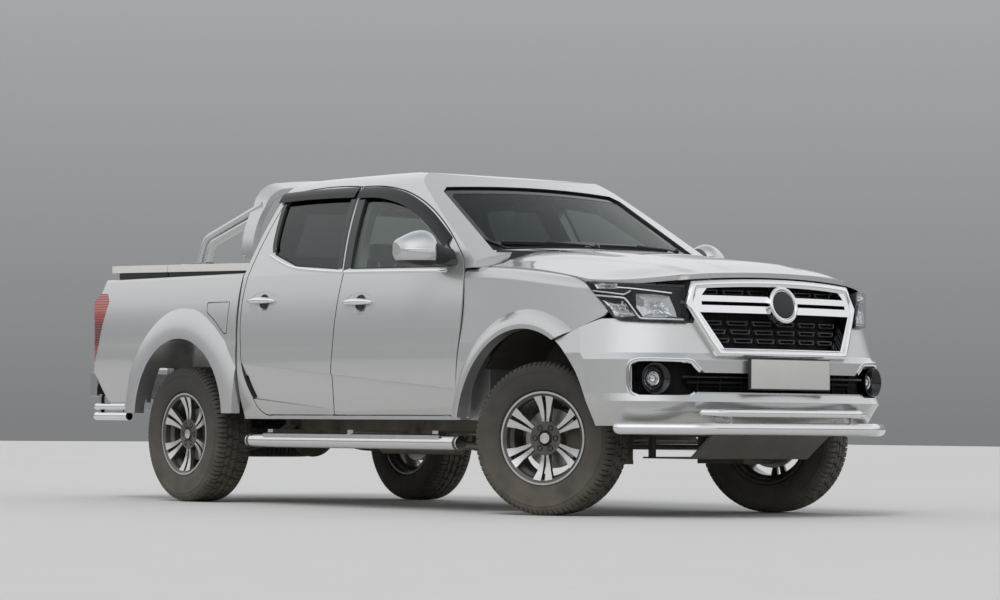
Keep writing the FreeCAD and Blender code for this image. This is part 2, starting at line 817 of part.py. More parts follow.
def grille_frame():
    band = grille_cylinder(-14.0).cut(grille_cylinder(56.0))
    ring = band.common(grille_block(0.0)).common(box(2300, 2800, -900, 900, 700, 1300))
    for items in (GRILLE_TOP_SLOT, GRILLE_THIN_SLOT, GRILLE_MAIN):
        ring = ring.cut(prism(items, "YZ", 2300.0, 2800.0))
    badge = Part.makeCylinder(BADGE_R, 40.0, V(2528.0, 0, BADGE_Z), V(1, 0, 0.22))
    frame = ring.fuse(badge)
    return frame.removeSplitter()


def grille_mesh():
    """Dark mesh behind the frame: rows of bars joined by upright ribs."""
    band = grille_cylinder(56.0 + SEAT_GAP).cut(grille_cylinder(72.0))
    opening = prism(GRILLE_OUTER, "YZ", 2300.0, 2800.0, -20.0)
    row_pitch = 45.0
    bars = []
    z = 800.0
    while z < 1150.0:
        bars.append(box(2300, 2700, -600, 600, z, z + 12.0))
        z += row_pitch
    for index in range(-6, 7):
        y = index * 84.0
        bars.append(box(2300, 2700, y - 5.0, y + 5.0, 780, 1200))
    grid = bars[0].fuse(bars[1:])
    return band.common(opening).common(grid).removeSplitter()


FOG_X = 2390.0
FOG_Y = 706.0
FOG_Z = 676.0
FOG_TURN = 0.25


def front_lamps():
    """Headlamps and fog lamps, both sides."""
    aim = V(1, -FOG_TURN, 0)
    fog = Part.makeCylinder(44.0, 60.0, V(FOG_X, -FOG_Y, FOG_Z), aim)
    fog = fog.fuse(Part.makeCylinder(56.0 - SEAT_GAP, 40.0, V(FOG_X, -FOG_Y, FOG_Z), aim))
    return Part.makeCompound(pair(headlamp()).Solids + pair(fog).Solids)


def intake_panel():
    """Dark panel behind the bumper's openings, with the fog lamp pockets, a flange and a slat."""
    panel = bumper_block(74.0).cut(bumper_block(90.0))
    panel = panel.common(box(2200, 2700, -800, 800, 582, 780))
    deep = bumper_block(BUMPER_THICK + SEAT_GAP).cut(bumper_block(90.0))
    flange = deep.common(box(2200, 2700, -800, 800, 582, 590)).fuse(deep.common(box(2200, 2700, -800, 800, 772, 780)))
    slat = bumper_block(40.0).cut(bumper_block(90.0)).common(box(2200, 2700, -560, 560, 654, 666))
    whole = panel.fuse([flange, slat])
    for side in (-1, 1):
        start = V(FOG_X - 200.0, side * (FOG_Y - 200.0 * FOG_TURN), FOG_Z)
        whole = whole.cut(Part.makeCylinder(56.0, 500.0, start, V(1, side * FOG_TURN, 0)))
    return whole.removeSplitter()


GUARD_WRAP_X = 2350.0
GUARD_HALF_W = 868.0


def front_guard():
    """Two polished tubes under the bumper with their brackets back to the frame."""
    main_r = 31.5
    upper_r = 21.0
    x = FRONT_END_X - main_r
    low_z = 436.0
    high_z = 512.0
    main_end = GUARD_WRAP_X
    main = pipe([(main_end, -GUARD_HALF_W, low_z), (x, -565, low_z), (x, 565, low_z),
                 (main_end, GUARD_HALF_W, low_z)], main_r, 150.0)
    upper = pipe([(x - 52, -528, high_z), (x, -450, high_z), (x, 450, high_z), (x - 52, 528, high_z)], upper_r, 70.0)
    posts = []
    for side in (-1, 1):
        posts.append(Part.makeSphere(main_r - 1.0, V(main_end, side * GUARD_HALF_W, low_z)))
        posts.append(Part.makeSphere(upper_r - 1.0, V(x - 52, side * 528, high_z)))
    for y in (-RAIL_Y, RAIL_Y):
        posts.append(box(x - 5, x + 12, y - 5, y + 5, 436.0, 512.0))
        posts.append(box(RAIL_FRONT_X + SEAT_GAP, x, y - 5, y + 5, 405.0, 438.0))
    return fuse([main, upper] + posts)


def skid_plate():
    plate = prism([(2490, 424), (2500, 412), (2330, 286), (1960, 286), (1960, 294), (2322, 296)], "XZ", -385.0, 385.0)
    tabs = [box(2000, 2040, y - 8, y + 8, 290, 396.1) for y in (-375, 375)]
    return fuse([plate] + tabs)


# Load bed

def bed_section():
    half = [(846.0, 560.0), ((LOW_Y, LOW_Z + 30), (WAIST_Y, WAIST_Z + 40)), ((SHOULDER_Y, 1100.0), (848.0, 1262.0)),
            ((838.0, 1276.0), (820.0, BED_TOP_Z, BED_TOP_Z))]
    return symmetric_items(half)


BED_PLAN = [
    (BED_FRONT_X, -1000.0),
    (-2330.0, -1000.0),
    (-2330.0, -893.0),
    ((-2478.0, -868.0), (-2550.0, -760.0)),
    (BED_REAR_X, -700.0),
    (BED_REAR_X, 700.0),
    (-2550.0, 760.0),
    ((-2478.0, 868.0), (-2330.0, 893.0)),
    (-2330.0, 1000.0),
    (BED_FRONT_X, 1000.0),
]

BED_LOW = [
    (BED_FRONT_X, 620.0),
    (-1100.0, 520.0),
    (-1960.0, 520.0),
    (-2330.0, 560.0),
    (-2405.0, 700.0),
    (-2440.0, 742.0),
    (BED_REAR_X - 10, 742.0),
    (BED_REAR_X - 10, 1400.0),
    (BED_FRONT_X, 1400.0),
]

TAIL_LAMP_SIDE = [
    (-2300.0, 1150.0),
    (-2330.0, 1196.0),
    (-2600.0, 1206.0),
    (-2600.0, 812.0),
    (-2440.0, 800.0),
    (-2420.0, 800.0),
]


# How far the bed's rear corners lean in towards their top, along the corner's own diagonal
CORNER_TURN = 52.0
CORNER_LEAN = [(2214.0, 1150.0), (2156.0, 1206.0), (2124.0, 1284.0), (2124.0, 1500.0), (2600.0, 1500.0), (2600.0, 1150.0)]


def corner_lean():
    """What is taken off both rear corners of the bed, its lamps and the tailgate."""
    wedge = prism(CORNER_LEAN, "XZ", -1900.0, -1000.0)
    wedge.rotate(V(0, 0, 0), V(0, 0, 1), 180.0 + CORNER_TURN)
    return pair(wedge).Solids


def bed():
    block = prism(bed_section(), "YZ", BED_REAR_X - 40.0, BED_FRONT_X)
    block = block.common(prism(BED_PLAN, "XY", 0.0, 2000.0))
    block = block.common(prism(BED_LOW, "XZ", -1000.0, 1000.0))
    lip = flare(ARCH_REAR, WAIST_Y - 2.0, 500.0, REAR_FLARE_WIDTH).common(box(-3000, BED_FRONT_X, -1000, 0, 0, 2000))
    block = block.fuse([lip, mirrored(lip)])
    tub = box(BED_REAR_X - 100, BED_FRONT_X - 45.0, -BED_WALL_Y, BED_WALL_Y, BED_FLOOR_Z, 2000.0)
    under = box(BED_REAR_X - 100, BED_FRONT_X + 100, -(BED_WALL_Y + 78), BED_WALL_Y + 78, 0, BED_FLOOR_Z - BED_FLOOR_THICK)
    block = block.cut(tub).cut(under)
    x, z, r = ARCH_REAR
    house = Part.makeCylinder(r + 20.0, 190.0, V(x, -HOUSE_Y - 175.0, z), V(0, 1, 0))
    house = house.common(box(x - 900, x + 900, -1000, 0, BED_FLOOR_Z - BED_FLOOR_THICK, 2000))
    room = Part.makeCylinder(r, 700.0, V(x, -HOUSE_Y - 700.0, z), V(0, 1, 0))
    block = block.fuse([house, mirrored(house)]).cut([room, mirrored(room)])
    lamp_room = prism(TAIL_LAMP_SIDE, "XZ", -1000.0, 1000.0, 1.0)
    corner = box(-2700, -2280, -790, 790, 0, 2000)
    block = block.cut(lamp_room.cut(corner))
    opening = box(BED_REAR_X - 100, BED_REAR_X + TAILGATE_THICK + PANEL_GAP, -TAILGATE_HALF_W - PANEL_GAP,
                  TAILGATE_HALF_W + PANEL_GAP, BED_FLOOR_Z - 100.0, 2000.0)
    block = block.cut(opening)
    block = block.cut(flap_pocket(PANEL_GAP / 2)).cut(corner_lean())
    block = block.fuse(Part.makeCylinder(20.0, 60.0, V(-1125.0, -(SHOULDER_Y - 12.0 - SEAT_GAP), 1030.0), V(0, 1, 0)))
    sills = []
    for sill_x, low_z in ((-1230.0, KICK_Z), (-1780.0, KICK_Z), (-2300.0, RAIL_REAR_TOP_Z)):
        sills.append(box(sill_x - 35, sill_x + 35, -RAIL_Y - 45, RAIL_Y + 45, low_z + SEAT_GAP, BED_FLOOR_Z - 20))
    block = block.fuse(sills)
    return block.removeSplitter()


FLAP = [(-1236.0, 1066.0), (-1242.0, 1112.0), (-1236.0, 1120.0), (-1024.0, 1120.0), (-1018.0, 1112.0),
        (-1030.0, 948.0), (-1036.0, 942.0), (-1060.0, 946.0), (-1150.0, 1016.0)]
FLAP_THICK = 10.0


def flap_pocket(grow):
    band = prism(bed_section(), "YZ", -1400.0, BED_FRONT_X)
    inner = box(-1400, BED_FRONT_X, -(SHOULDER_Y - 22.0), 900, 0, 2000)
    return band.cut(inner).common(prism(FLAP, "XZ", -1000.0, 0.0, grow))


def fuel_flap():
    band = prism(bed_section(), "YZ", -1400.0, BED_FRONT_X)
    inner = box(-1400, BED_FRONT_X, -(SHOULDER_Y - 12.0), 900, 0, 2000)
    return band.cut(inner).common(prism(FLAP, "XZ", -1000.0, 0.0, -PANEL_GAP / 2))


def tail_lamps():
    block = prism(bed_section(), "YZ", BED_REAR_X - 40.0, -2280.0).common(prism(BED_PLAN, "XY", 0.0, 2000.0))
    lamp = block.common(prism(TAIL_LAMP_SIDE, "XZ", -1000.0, 1000.0, 1.0 - SEAT_GAP))
    lamp = lamp.cut(box(-2700, -2280, -790 - SEAT_GAP, 900, 0, 2000)).cut(corner_lean())
    return pair(lamp)


def tailgate():
    leaf = box(BED_REAR_X, BED_REAR_X + TAILGATE_THICK, -TAILGATE_HALF_W, TAILGATE_HALF_W, TAILGATE_LOW_Z,
               BED_TOP_Z - 2.0)
    recess = box(BED_REAR_X - 10, BED_REAR_X + 14.0, -130.0, 130.0, 1120.0, 1190.0)
    groove = prism([(BED_REAR_X - 1, 1040.0), (BED_REAR_X + 8, 1030.0), (BED_REAR_X + 8, 900.0),
                    (BED_REAR_X - 1, 890.0)], "XZ", -640.0, 640.0)
    reach = BED_WALL_Y - SEAT_GAP
    pin = Part.makeCylinder(10.0, 2 * reach, V(HINGE_X, -reach, HINGE_Z), V(0, 1, 0))
    return leaf.cut([recess, groove]).cut(corner_lean()).fuse(pin).removeSplitter()


def cover_panel(x_front, x_rear):
    """A flat panel of the load cover, rising a little to the rear."""
    def base(x):
        return BED_TOP_Z + RAIL_THICK + 2.0 + COVER_TILT * (BED_FRONT_X - x) / (BED_FRONT_X - BED_REAR_X)
    return prism([
        (x_front, base(x_front)),
        (x_front, base(x_front) + COVER_THICK),
        (x_rear, base(x_rear) + COVER_THICK),
        (x_rear, base(x_rear)),
    ], "XZ", -COVER_HALF_W, COVER_HALF_W)


COVER_HINGE_Z = BED_TOP_Z + RAIL_THICK + 2.0 + COVER_THICK + COVER_TILT * (BED_FRONT_X - COVER_SPLIT_X) / 1624.0
HINGE_RUNS_FRONT = ((-700.0, -500.0), (-100.0, 100.0), (500.0, 700.0))
HINGE_RUNS_REAR = ((-500.0, -300.0), (100.0, 300.0))


def cover_hinge(panel, own_runs, other_runs):
    """Adds the panel's own barrels to its edge and clears those of the other panel."""
    for low, high in other_runs:
        panel = panel.cut(Part.makeCylinder(8.5, high - low + 2.0, V(COVER_SPLIT_X, low - 1.0, COVER_HINGE_Z), V(0, 1, 0)))
    barrels = []
    for low, high in own_runs:
        length = high - low - SEAT_GAP
        barrels.append(Part.makeCylinder(8.0, length, V(COVER_SPLIT_X, low, COVER_HINGE_Z), V(0, 1, 0)))
    return panel.fuse(barrels).removeSplitter()


def cover_front():
    panel = cover_panel(BED_FRONT_X - 14.0, COVER_SPLIT_X + PANEL_GAP / 2)
    rails = []
    for side in (-1, 1):
        y = side * (COVER_HALF_W - 32.0)
        rails.append(prism([
            (BED_FRONT_X - 14.0, BED_TOP_Z + SEAT_GAP),
            (BED_FRONT_X - 14.0, BED_TOP_Z + RAIL_THICK + 2.0),
            (COVER_SPLIT_X + PANEL_GAP / 2, COVER_HINGE_Z - COVER_THICK),
            (COVER_SPLIT_X + PANEL_GAP / 2, BED_TOP_Z + SEAT_GAP),
        ], "XZ", y - 18.0, y + 18.0))
    return cover_hinge(fuse([panel] + rails), HINGE_RUNS_FRONT, HINGE_RUNS_REAR)


COVER_CORNERS = [
    (COVER_SPLIT_X + 100.0, -COVER_HALF_W),
    (-2300.0, -COVER_HALF_W),
    ((-2448.0, -766.0), (-2524.0, -640.0)),
    ((-2536.0, 0.0), (-2524.0, 640.0)),
    ((-2448.0, 766.0), (-2300.0, COVER_HALF_W)),
    (COVER_SPLIT_X + 100.0, COVER_HALF_W),
]


def cover_rear():
    panel = cover_panel(COVER_SPLIT_X - PANEL_GAP / 2, BED_REAR_X - 4.0)
    panel = panel.common(prism(COVER_CORNERS, "XY", 1000.0, 1600.0))
    return cover_hinge(panel, HINGE_RUNS_REAR, HINGE_RUNS_FRONT)


HOOP_FRONT_X = -962.0
HOOP_REAR_X = -1076.0
HOOP_THICK = 36.0
HOOP_FOOT_Z = 1384.0
HOOP_TOP_Z = 1836.0
HOOP_RAKE = 34.0
BRACE_R = 22.0


def hoop_solid(inset, low_z):
    """The broad hoop's outer form, its front edge lower than its rear one, moved in by the inset."""
    wires = []
    for x, drop in ((HOOP_REAR_X, 0.0), (HOOP_FRONT_X, HOOP_RAKE)):
        wires.append(outline(symmetric_items([
            (768.0 - inset, low_z),
            ((752.0 - inset, 1520.0), (690.0 - inset, 1660.0 - drop * 0.2)),
            ((646.0 - inset, 1748.0 - drop * 0.8 - inset * 0.5),
             (540.0 - inset * 0.6, 1802.0 - drop - inset, HOOP_TOP_Z - drop - inset)),
        ]), "YZ", x))
    return Part.makeLoft(wires, True, True)


def sports_bar():
    """Broad hoop behind the cab on two legs, braced back by a pair of polished tubes a side."""
    hoop = hoop_solid(0.0, HOOP_FOOT_Z).cut(hoop_solid(HOOP_THICK, HOOP_FOOT_Z - 60.0))
    mid_x = (HOOP_FRONT_X + HOOP_REAR_X) / 2
    leg = prism([(-760, 1300), (-756, HOOP_FOOT_Z + 30), (-738, 1500), (-712, 1500), (-716, 1300)], "YZ",
                mid_x - 34.0, mid_x + 34.0)
    outer = pipe([(-1000, -672, 1668), (-1448, -757, 1490), (-1515, -770, 1310)], BRACE_R, 90.0)
    inner = pipe([(-1015, -675, 1612), (-1388, -757, 1464), (-1437, -770, 1310)], BRACE_R, 70.0)
    feet = [box(mid_x - 60, mid_x + 60, -788, -690, 1310, 1352), box(-1560, -1395, -796, -740, 1310, 1358)]
    side = fuse([leg, outer, inner] + feet).cut(hoop_solid(HOOP_THICK, 1200.0))
    cover = cover_panel(BED_FRONT_X + 200.0, COVER_SPLIT_X)
    cover.translate(V(0, 0, SEAT_GAP))
    side = side.cut(cover.fuse(box(-3000, 0, -900, 900, 1000, 1320)))
    return fuse([hoop, side, mirrored(side)])


# Chassis

RAIL_SIDE = [
    (RAIL_FRONT_X, RAIL_LOW_Z + 10.0),
    (1150.0, RAIL_LOW_Z),
    (-900.0, RAIL_LOW_Z),
    (-1150.0, KICK_Z - RAIL_HEIGHT),
    (-1840.0, KICK_Z - RAIL_HEIGHT),
    (-2120.0, RAIL_REAR_TOP_Z - 90.0),
    (-2500.0, RAIL_REAR_TOP_Z - 90.0),
    (-2500.0, RAIL_REAR_TOP_Z),
    (-2120.0, RAIL_REAR_TOP_Z),
    (-1840.0, KICK_Z),
    (-1180.0, KICK_Z),
    (-932.0, RAIL_TOP_MID_Z),
    (1222.0, RAIL_TOP_MID_Z),
    (1300.0, RAIL_TOP_FRONT_Z),
    (RAIL_FRONT_X, RAIL_TOP_FRONT_Z),
]


def chassis_frame():
    rail = prism(RAIL_SIDE, "XZ", -RAIL_Y - RAIL_WIDTH / 2, -RAIL_Y + RAIL_WIDTH / 2)
    members = [rail, mirrored(rail)]
    for x, z, width, height in (
        (2405.0, 405.0, 60.0, 80.0),
        (1090.0, 391.0, 90.0, 20.0),
        (150.0, 391.0, 90.0, 20.0),
        (-740.0, 391.0, 70.0, 20.0),
        (-1200.0, 575.0, 70.0, 80.0),
        (SPARE_X, 515.0, 90.0, 50.0),
        (-2470.0, 505.0, 50.0, 80.0),
    ):
        members.append(box(x - width / 2, x + width / 2, -RAIL_Y, RAIL_Y, z, z + height))
    return fuse(members)


def ring(points, centre_y=0.0):
    """A body turned about the Y axis from (radius, y) points."""
    face = Part.Face(outline(points, "XY"))
    face.translate(V(0, centre_y, 0))
    return face.revolve(V(0, 0, 0), V(0, 1, 0), 360.0)


def tyre():
    half = TYRE_WIDTH / 2
    seat_r = RIM_SEAT_R + SEAT_GAP
    return ring([
        (seat_r, -95.6),
        (RIM_LIP_R + 2.0, -95.6),
        (RIM_LIP_R + 6.0, -108.0),
        ((300.0, -half), (352.0, -half + 6.0)),
        (374.0, -half + 20.0),
        (TYRE_R - 2.0, -half + 34.0),
        ((TYRE_R, 0.0), (TYRE_R - 2.0, half - 34.0)),
        (374.0, half - 20.0),
        (352.0, half - 6.0),
        ((300.0, half), (RIM_LIP_R + 6.0, 108.0)),
        (RIM_LIP_R + 2.0, 95.6),
        (seat_r, 95.6),
        (seat_r, 68.0),
        (240.0, 82.0),
        ((300.0, 108.0), (356.0, 88.0)),
        (364.0, 60.0),
        ((366.0, 0.0), (364.0, -60.0)),
        (356.0, -88.0),
        ((300.0, -108.0), (240.0, -82.0)),
        (seat_r, -68.0),
    ])


def barrel():
    return ring([
        (222.0, -104.0),
        (RIM_LIP_R, -104.0),
        (RIM_LIP_R, -96.0),
        (RIM_SEAT_R, -96.0),
        (RIM_SEAT_R - 2.0, -66.0),
        (198.0, -50.0),
        (198.0, 50.0),
        (RIM_SEAT_R - 2.0, 66.0),
        (RIM_SEAT_R, 96.0),
        (RIM_LIP_R, 96.0),
        (RIM_LIP_R, 104.0),
        (222.0, 104.0),
        (206.0, 92.0),
        (204.0, 62.0),
        (188.0, 46.0),
        (188.0, -46.0),
        (204.0, -62.0),
        (206.0, -92.0),
    ])


def spokes():
    """Six pairs of slim spokes held between a dished front and back."""
    dish = ring([
        (40.0, -72.0),
        (78.0, -72.0),
        ((130.0, -74.0), (210.0, -98.0)),
        (210.0, -74.0),
        (130.0, -48.0),
        (78.0, -33.0),
        (40.0, -33.0),
    ])
    blades = []
    for pair_index in range(SPOKE_PAIRS):
        for lean in (-1, 1):
            blade = prism([(46.0, lean * 2.5), (212.0, lean * 11.0), (212.0, lean * 58.0), (158.0, lean * 36.0),
                           (92.0, lean * 20.0), (46.0, lean * 17.0)], "XZ", -110.0, -20.0)
            blade.rotate(V(0, 0, 0), V(0, 1, 0), 360.0 / SPOKE_PAIRS * (pair_index + 0.5))
            blades.append(blade)
    return dish.common(blades[0].fuse(blades[1:]))


def rim():
    hub = ring([(WHEEL_BORE_R, -64.0), (30.0, -70.0), (26.0, -80.0), (0.0, -82.0), (0.0, -66.0), (24.0, -64.0),
                (WHEEL_BORE_R, -58.0), (WHEEL_BORE_R, -33.0), (84.0, -33.0), (84.0, -72.0), (40.0, -74.0)])
    hat = ring([(WHEEL_BORE_R, -33.0), (80.0, -33.0), (80.0, 5.0), (DISC_R, 5.0), (DISC_R, 5.0 + DISC_THICK),
                (72.0, 5.0 + DISC_THICK), (72.0, -20.0), (WHEEL_BORE_R, -20.0)])
    wheel = barrel().fuse([spokes(), hub, hat])
    pockets = []
    nuts = []
    for index in range(LUG_COUNT):
        turn = 360.0 / LUG_COUNT * index
        pocket = Part.makeCylinder(15.0, 30.0, V(LUG_CIRCLE_R, -90.0, 0), V(0, 1, 0))
        nut = Part.makeCylinder(10.0, 20.0, V(LUG_CIRCLE_R, -74.0, 0), V(0, 1, 0))
        pocket.rotate(V(0, 0, 0), V(0, 1, 0), turn)
        nut.rotate(V(0, 0, 0), V(0, 1, 0), turn)
        pockets.append(pocket)
        nuts.append(nut)
    return wheel.cut(pockets).fuse(nuts).removeSplitter()


def knuckle():
    """Right-hand knuckle round the wheel's centre, wheels straight ahead, outboard is -Y."""
    spindle = Part.makeCylinder(WHEEL_BORE_R - 0.8, 120.0, V(0, -56, 0), V(0, 1, 0))
    upright = prism([(-40, -95), (-30, 125), (30, 125), (40, -95)], "XZ", 40.0, 118.0)
    post = prism([(-26, -95), (-26, 125), (26, 125), (26, -95)], "XZ", 60.0, 118.0)
    arm = box(-TIE_EYE_R, -20, KINGPIN_INSET - 14, KINGPIN_INSET + 14, -20, 0)
    eye = Part.makeCylinder(22.0, 20.0, V(-TIE_EYE_R, KINGPIN_INSET, -20))
    outer = Part.makeCylinder(174.0, 80.0, V(0, -20, 0), V(0, 1, 0))
    wedge = prism([(90, -56), (180, -62), (180, 62), (90, 56)], "XZ", -20.0, 60.0)
    slot = Part.makeCylinder(DISC_R + 4.0, DISC_THICK + 6.0, V(0, 2, 0), V(0, 1, 0))
    caliper = outer.common(wedge).cut(slot)
    carrier = box(20, 130, 40, 60, -40, 40)
    return fuse([spindle, upright, post, arm, eye, caliper, carrier])


def at_front_wheel(shape, side):
    """Moves a right-hand wheel part to a front wheel, steered as it stands at rest."""
    placed = shape.copy()
    placed.translate(V(FRONT_AXLE_X, -(KINGPIN_Y + KINGPIN_INSET), TYRE_R))
    pivot_y = -KINGPIN_Y
    if side == "left":
        placed = mirrored(placed)
        pivot_y = KINGPIN_Y
    placed.rotate(V(FRONT_AXLE_X, pivot_y, 0), V(0, 0, 1), STEER_AT_REST)
    return placed


def at_rear_wheel(shape, side):
    placed = shape.copy()
    placed.translate(V(REAR_AXLE_X, -TRACK / 2, TYRE_R))
    return mirrored(placed) if side == "left" else placed


def steering_link():
    """Rack rod with its ends under the knuckles' eyes."""
    turn = math.radians(STEER_AT_REST)
    x = FRONT_AXLE_X - TIE_EYE_R * math.cos(turn)
    shift = -TIE_EYE_R * math.sin(turn)
    low = -KINGPIN_Y + shift
    high = KINGPIN_Y + shift
    bar = Part.makeCylinder(13.0, high - low, V(x, low, TIE_ROD_Z), V(0, 1, 0))
    ends = []
    for y in (low, high):
        ends.append(Part.makeCylinder(19.0, TYRE_R - 20.0 - SEAT_GAP - TIE_ROD_Z + 15.0, V(x, y, TIE_ROD_Z - 15)))
    return fuse([bar] + ends)


def front_arms():
    """Both arms of each side, their feet on the rails, the ball pins and the strut."""
    x = FRONT_AXLE_X
    parts = []
    for z0, z1, reach in ((255.0, 275.0, 370.0), (525.0, 545.0, 370.0)):
        plate = prism([
            (x + ARM_PIVOT_X + 15, -reach),
            (x + ARM_PIVOT_X + 15, -450.0),
            (x + 30, -KINGPIN_Y - 16),
            (x - 30, -KINGPIN_Y - 16),
            (x - ARM_PIVOT_X - 15, -450.0),
            (x - ARM_PIVOT_X - 15, -reach),
            (x - ARM_PIVOT_X + 25, -reach),
            (x, -580.0),
            (x + ARM_PIVOT_X - 25, -reach),
        ], "XY", z0, z1)
        parts.append(plate)
    for dx in (-ARM_PIVOT_X, ARM_PIVOT_X):
        parts.append(box(x + dx - 14, x + dx + 14, -430, -372, 265, RAIL_LOW_Z + 5.0))
        parts.append(box(x + dx - 14, x + dx + 14, -430, -372, RAIL_TOP_FRONT_Z + SEAT_GAP, 530))
    parts.append(Part.makeCylinder(14.0, 17.7, V(x, -KINGPIN_Y, 269.0)))
    parts.append(Part.makeCylinder(14.0, 24.0, V(x, -KINGPIN_Y, 507.3)))
    parts.append(Part.makeCylinder(48.0, 620.0, V(x, -548.0, 262.0)))
    side = fuse(parts)
    rail = prism(RAIL_SIDE, "XZ", -RAIL_Y - RAIL_WIDTH / 2 - SEAT_GAP, -RAIL_Y + RAIL_WIDTH / 2 + SEAT_GAP, SEAT_GAP)
    return pair(side.cut(rail))


def rear_axle():
    x = REAR_AXLE_X
    z = TYRE_R
    half = TRACK / 2
    housing = Part.makeCylinder(46.0, 2 * half - 160.0, V(x, -half + 80.0, z), V(0, 1, 0))
    stub = Part.makeCylinder(WHEEL_BORE_R - 0.8, 2 * half + 110.0, V(x, -half - 55.0, z), V(0, 1, 0))
    diff = Part.makeSphere(128.0, V(x, 0, z))
    nose = Part.makeCylinder(60.0, 190.0, V(x, 0, z + 20), V(1, 0, 0.14))
    parts = [housing, stub, diff, nose]
    for side in (-1, 1):
        y = side * SPRING_Y
        leaf = prism([
            (x + 500, 442), ((x, z - 92), (x - 620, 452)), (x - 620, 466), ((x, z - 46), (x + 500, 456)),
        ], "XZ", y - 30, y + 30)
        parts.append(leaf)
        parts.append(box(x - 60, x + 60, y - 38, y + 38, z - 86, z + 40))
        parts.append(box(x + 470, x + 510, min(side * 435.3, y + side * 30), max(side * 435.3, y + side * 30), 436, 500))
        parts.append(box(x - 630, x - 596, min(side * 435.3, y + side * 30), max(side * 435.3, y + side * 30), 446, 560))
        parts.append(box(x - 30, x + 90, side * (half - 50) - 12, side * (half - 50) + 12, z + 60, z + 140))
        parts.append(Part.makeCylinder(110.0, 30.0, V(x, side * (half - 60) - 15, z), V(0, 1, 0)))
    return fuse(parts)


def engine():
    block = box(1330, 1930, -235, 235, 520, 900)
    sump = box(1400, 1850, -160, 160, 425, 540)
    head = box(1350, 1900, -170, 170, 880, 1060)
    feet = [box(1600, 1700, side * 300 - 65, side * 300 + 65, RAIL_TOP_FRONT_Z + SEAT_GAP, 620) for side in (-1, 1)]
    feet += [box(1600, 1700, side * 365 - 35, side * 365 + 35, RAIL_TOP_FRONT_Z + SEAT_GAP, 560) for side in (-1, 1)]
    fan = Part.makeCylinder(190.0, 30.0, V(1960, 0, 760), V(1, 0, 0))
    nose = Part.makeCylinder(60.0, 60.0, V(1920, 0, 760), V(1, 0, 0))
    cover = box(1400, 1860, -230, 120, 1050, 1100)
    return fuse([block, sump, head, fan, nose, cover] + feet)


def driveline():
    bell = box(1080, 1329.7, -120, 120, 450, 620)
    gearbox = box(430, 1100, -105, 105, 455, 600)
    foot = box(110, 190, -60, 60, 411.3, 470)
    shaft = rod((440, 0, 505), (REAR_AXLE_X + 196, 0, 428), 32.0)
    return fuse([bell, gearbox, box(110, 480, -70, 70, 455, 560), foot, shaft])


def inner_wings():
    """Wheel housings, inner aprons and the upper rails, one solid a side."""
    x, z, r = ARCH_FRONT
    liner = Part.makeCylinder(r + 30.0, 355.0, V(x, -800.0, z), V(0, 1, 0))
    liner = liner.cut(Part.makeCylinder(r + 22.0, 400.0, V(x, -820.0, z), V(0, 1, 0)))
    liner = liner.common(box(FIREWALL_X + SEAT_GAP, 2300, -1000, 0, z + 150, 1200))
    apron = Part.makeCylinder(r + 30.0, 8.0, V(x, -453.0, z), V(0, 1, 0))
    apron = apron.common(box(FIREWALL_X + SEAT_GAP, 2300, -1000, 0, 600, 1200))
    posts = []
    for post_x in (1400.0, 2060.0):
        posts.append(box(post_x, post_x + 60, -453, -370, RAIL_TOP_FRONT_Z + SEAT_GAP, 620))
    upper = box(FIREWALL_X + SEAT_GAP, CARRIER_X - SEAT_GAP, -BAY_RAIL_Y, -BAY_RAIL_Y + 40, 1040, 1080)
    web = box(1560, 1620, -BAY_RAIL_Y, -BAY_RAIL_Y + 40, z + r + 25, 1050)
    side = fuse([liner, apron, upper, web] + posts)
    return pair(side.cut(box(CARRIER_X - SEAT_GAP, 2600, -1000, 0, 0, 2000)))


CARRIER_X = 2210.0


def engine_bay():
    """Radiator and its carrier, with the hood's stops."""
    x = CARRIER_X
    carrier = box(x, x + 40, -BAY_RAIL_Y, BAY_RAIL_Y, 560, 1080)
    carrier = carrier.cut(box(x - 10, x + 50, -430, 430, 600, 1030))
    legs = []
    for y in (-RAIL_Y, RAIL_Y):
        legs.append(box(x, x + 40, y - 30, y + 30, RAIL_TOP_FRONT_Z + SEAT_GAP, 580))
    core = box(x + 6, x + 30, -440, 440, 590, 1040)
    under_hood = hood_solid(HOOD_THICK + SEAT_GAP, 400.0)
    for y in (-540.0, 540.0):
        stop = Part.makeCylinder(14.0, 300.0, V(x + 20.0, y, 1060.0))
        legs.append(stop.common(under_hood))
    return fuse([carrier, core] + legs)


def side_steps():
    y = -872.0
    z = 352.0
    bar = rod((-812.0, y, z), (1104.0, y, z), 36.0)
    tread = box(-640, 960, y - 34, y + 30, z + 20, z + 38)
    arms = []
    for x in (-600.0, 150.0, 900.0):
        arms.append(box(x - 25, x + 25, y, -RAIL_Y - RAIL_WIDTH / 2 - SEAT_GAP, z + 42, z + 62))
        arms.append(box(x - 25, x + 25, y - 10, y + 25, z, z + 62))
    return pair(fuse([bar, tread] + arms))


CORNER_TUBES = [(538.0, -2130.0, 20.0), (482.0, -2112.0, 24.0)]  # height, front end and radius
REAR_BUMPER_PLAN = [
    (-2446.0, -862.0),
    ((-2588.0, -820.0), (-2640.0, -640.0)),
    (REAR_END_X, -560.0),
    (REAR_END_X, 560.0),
    (-2640.0, 640.0),
    ((-2588.0, 820.0), (-2446.0, 862.0)),
    (-2446.0, 800.0),
    (-2572.0, 690.0),
    (-2572.0, -690.0),
    (-2446.0, -800.0),
]


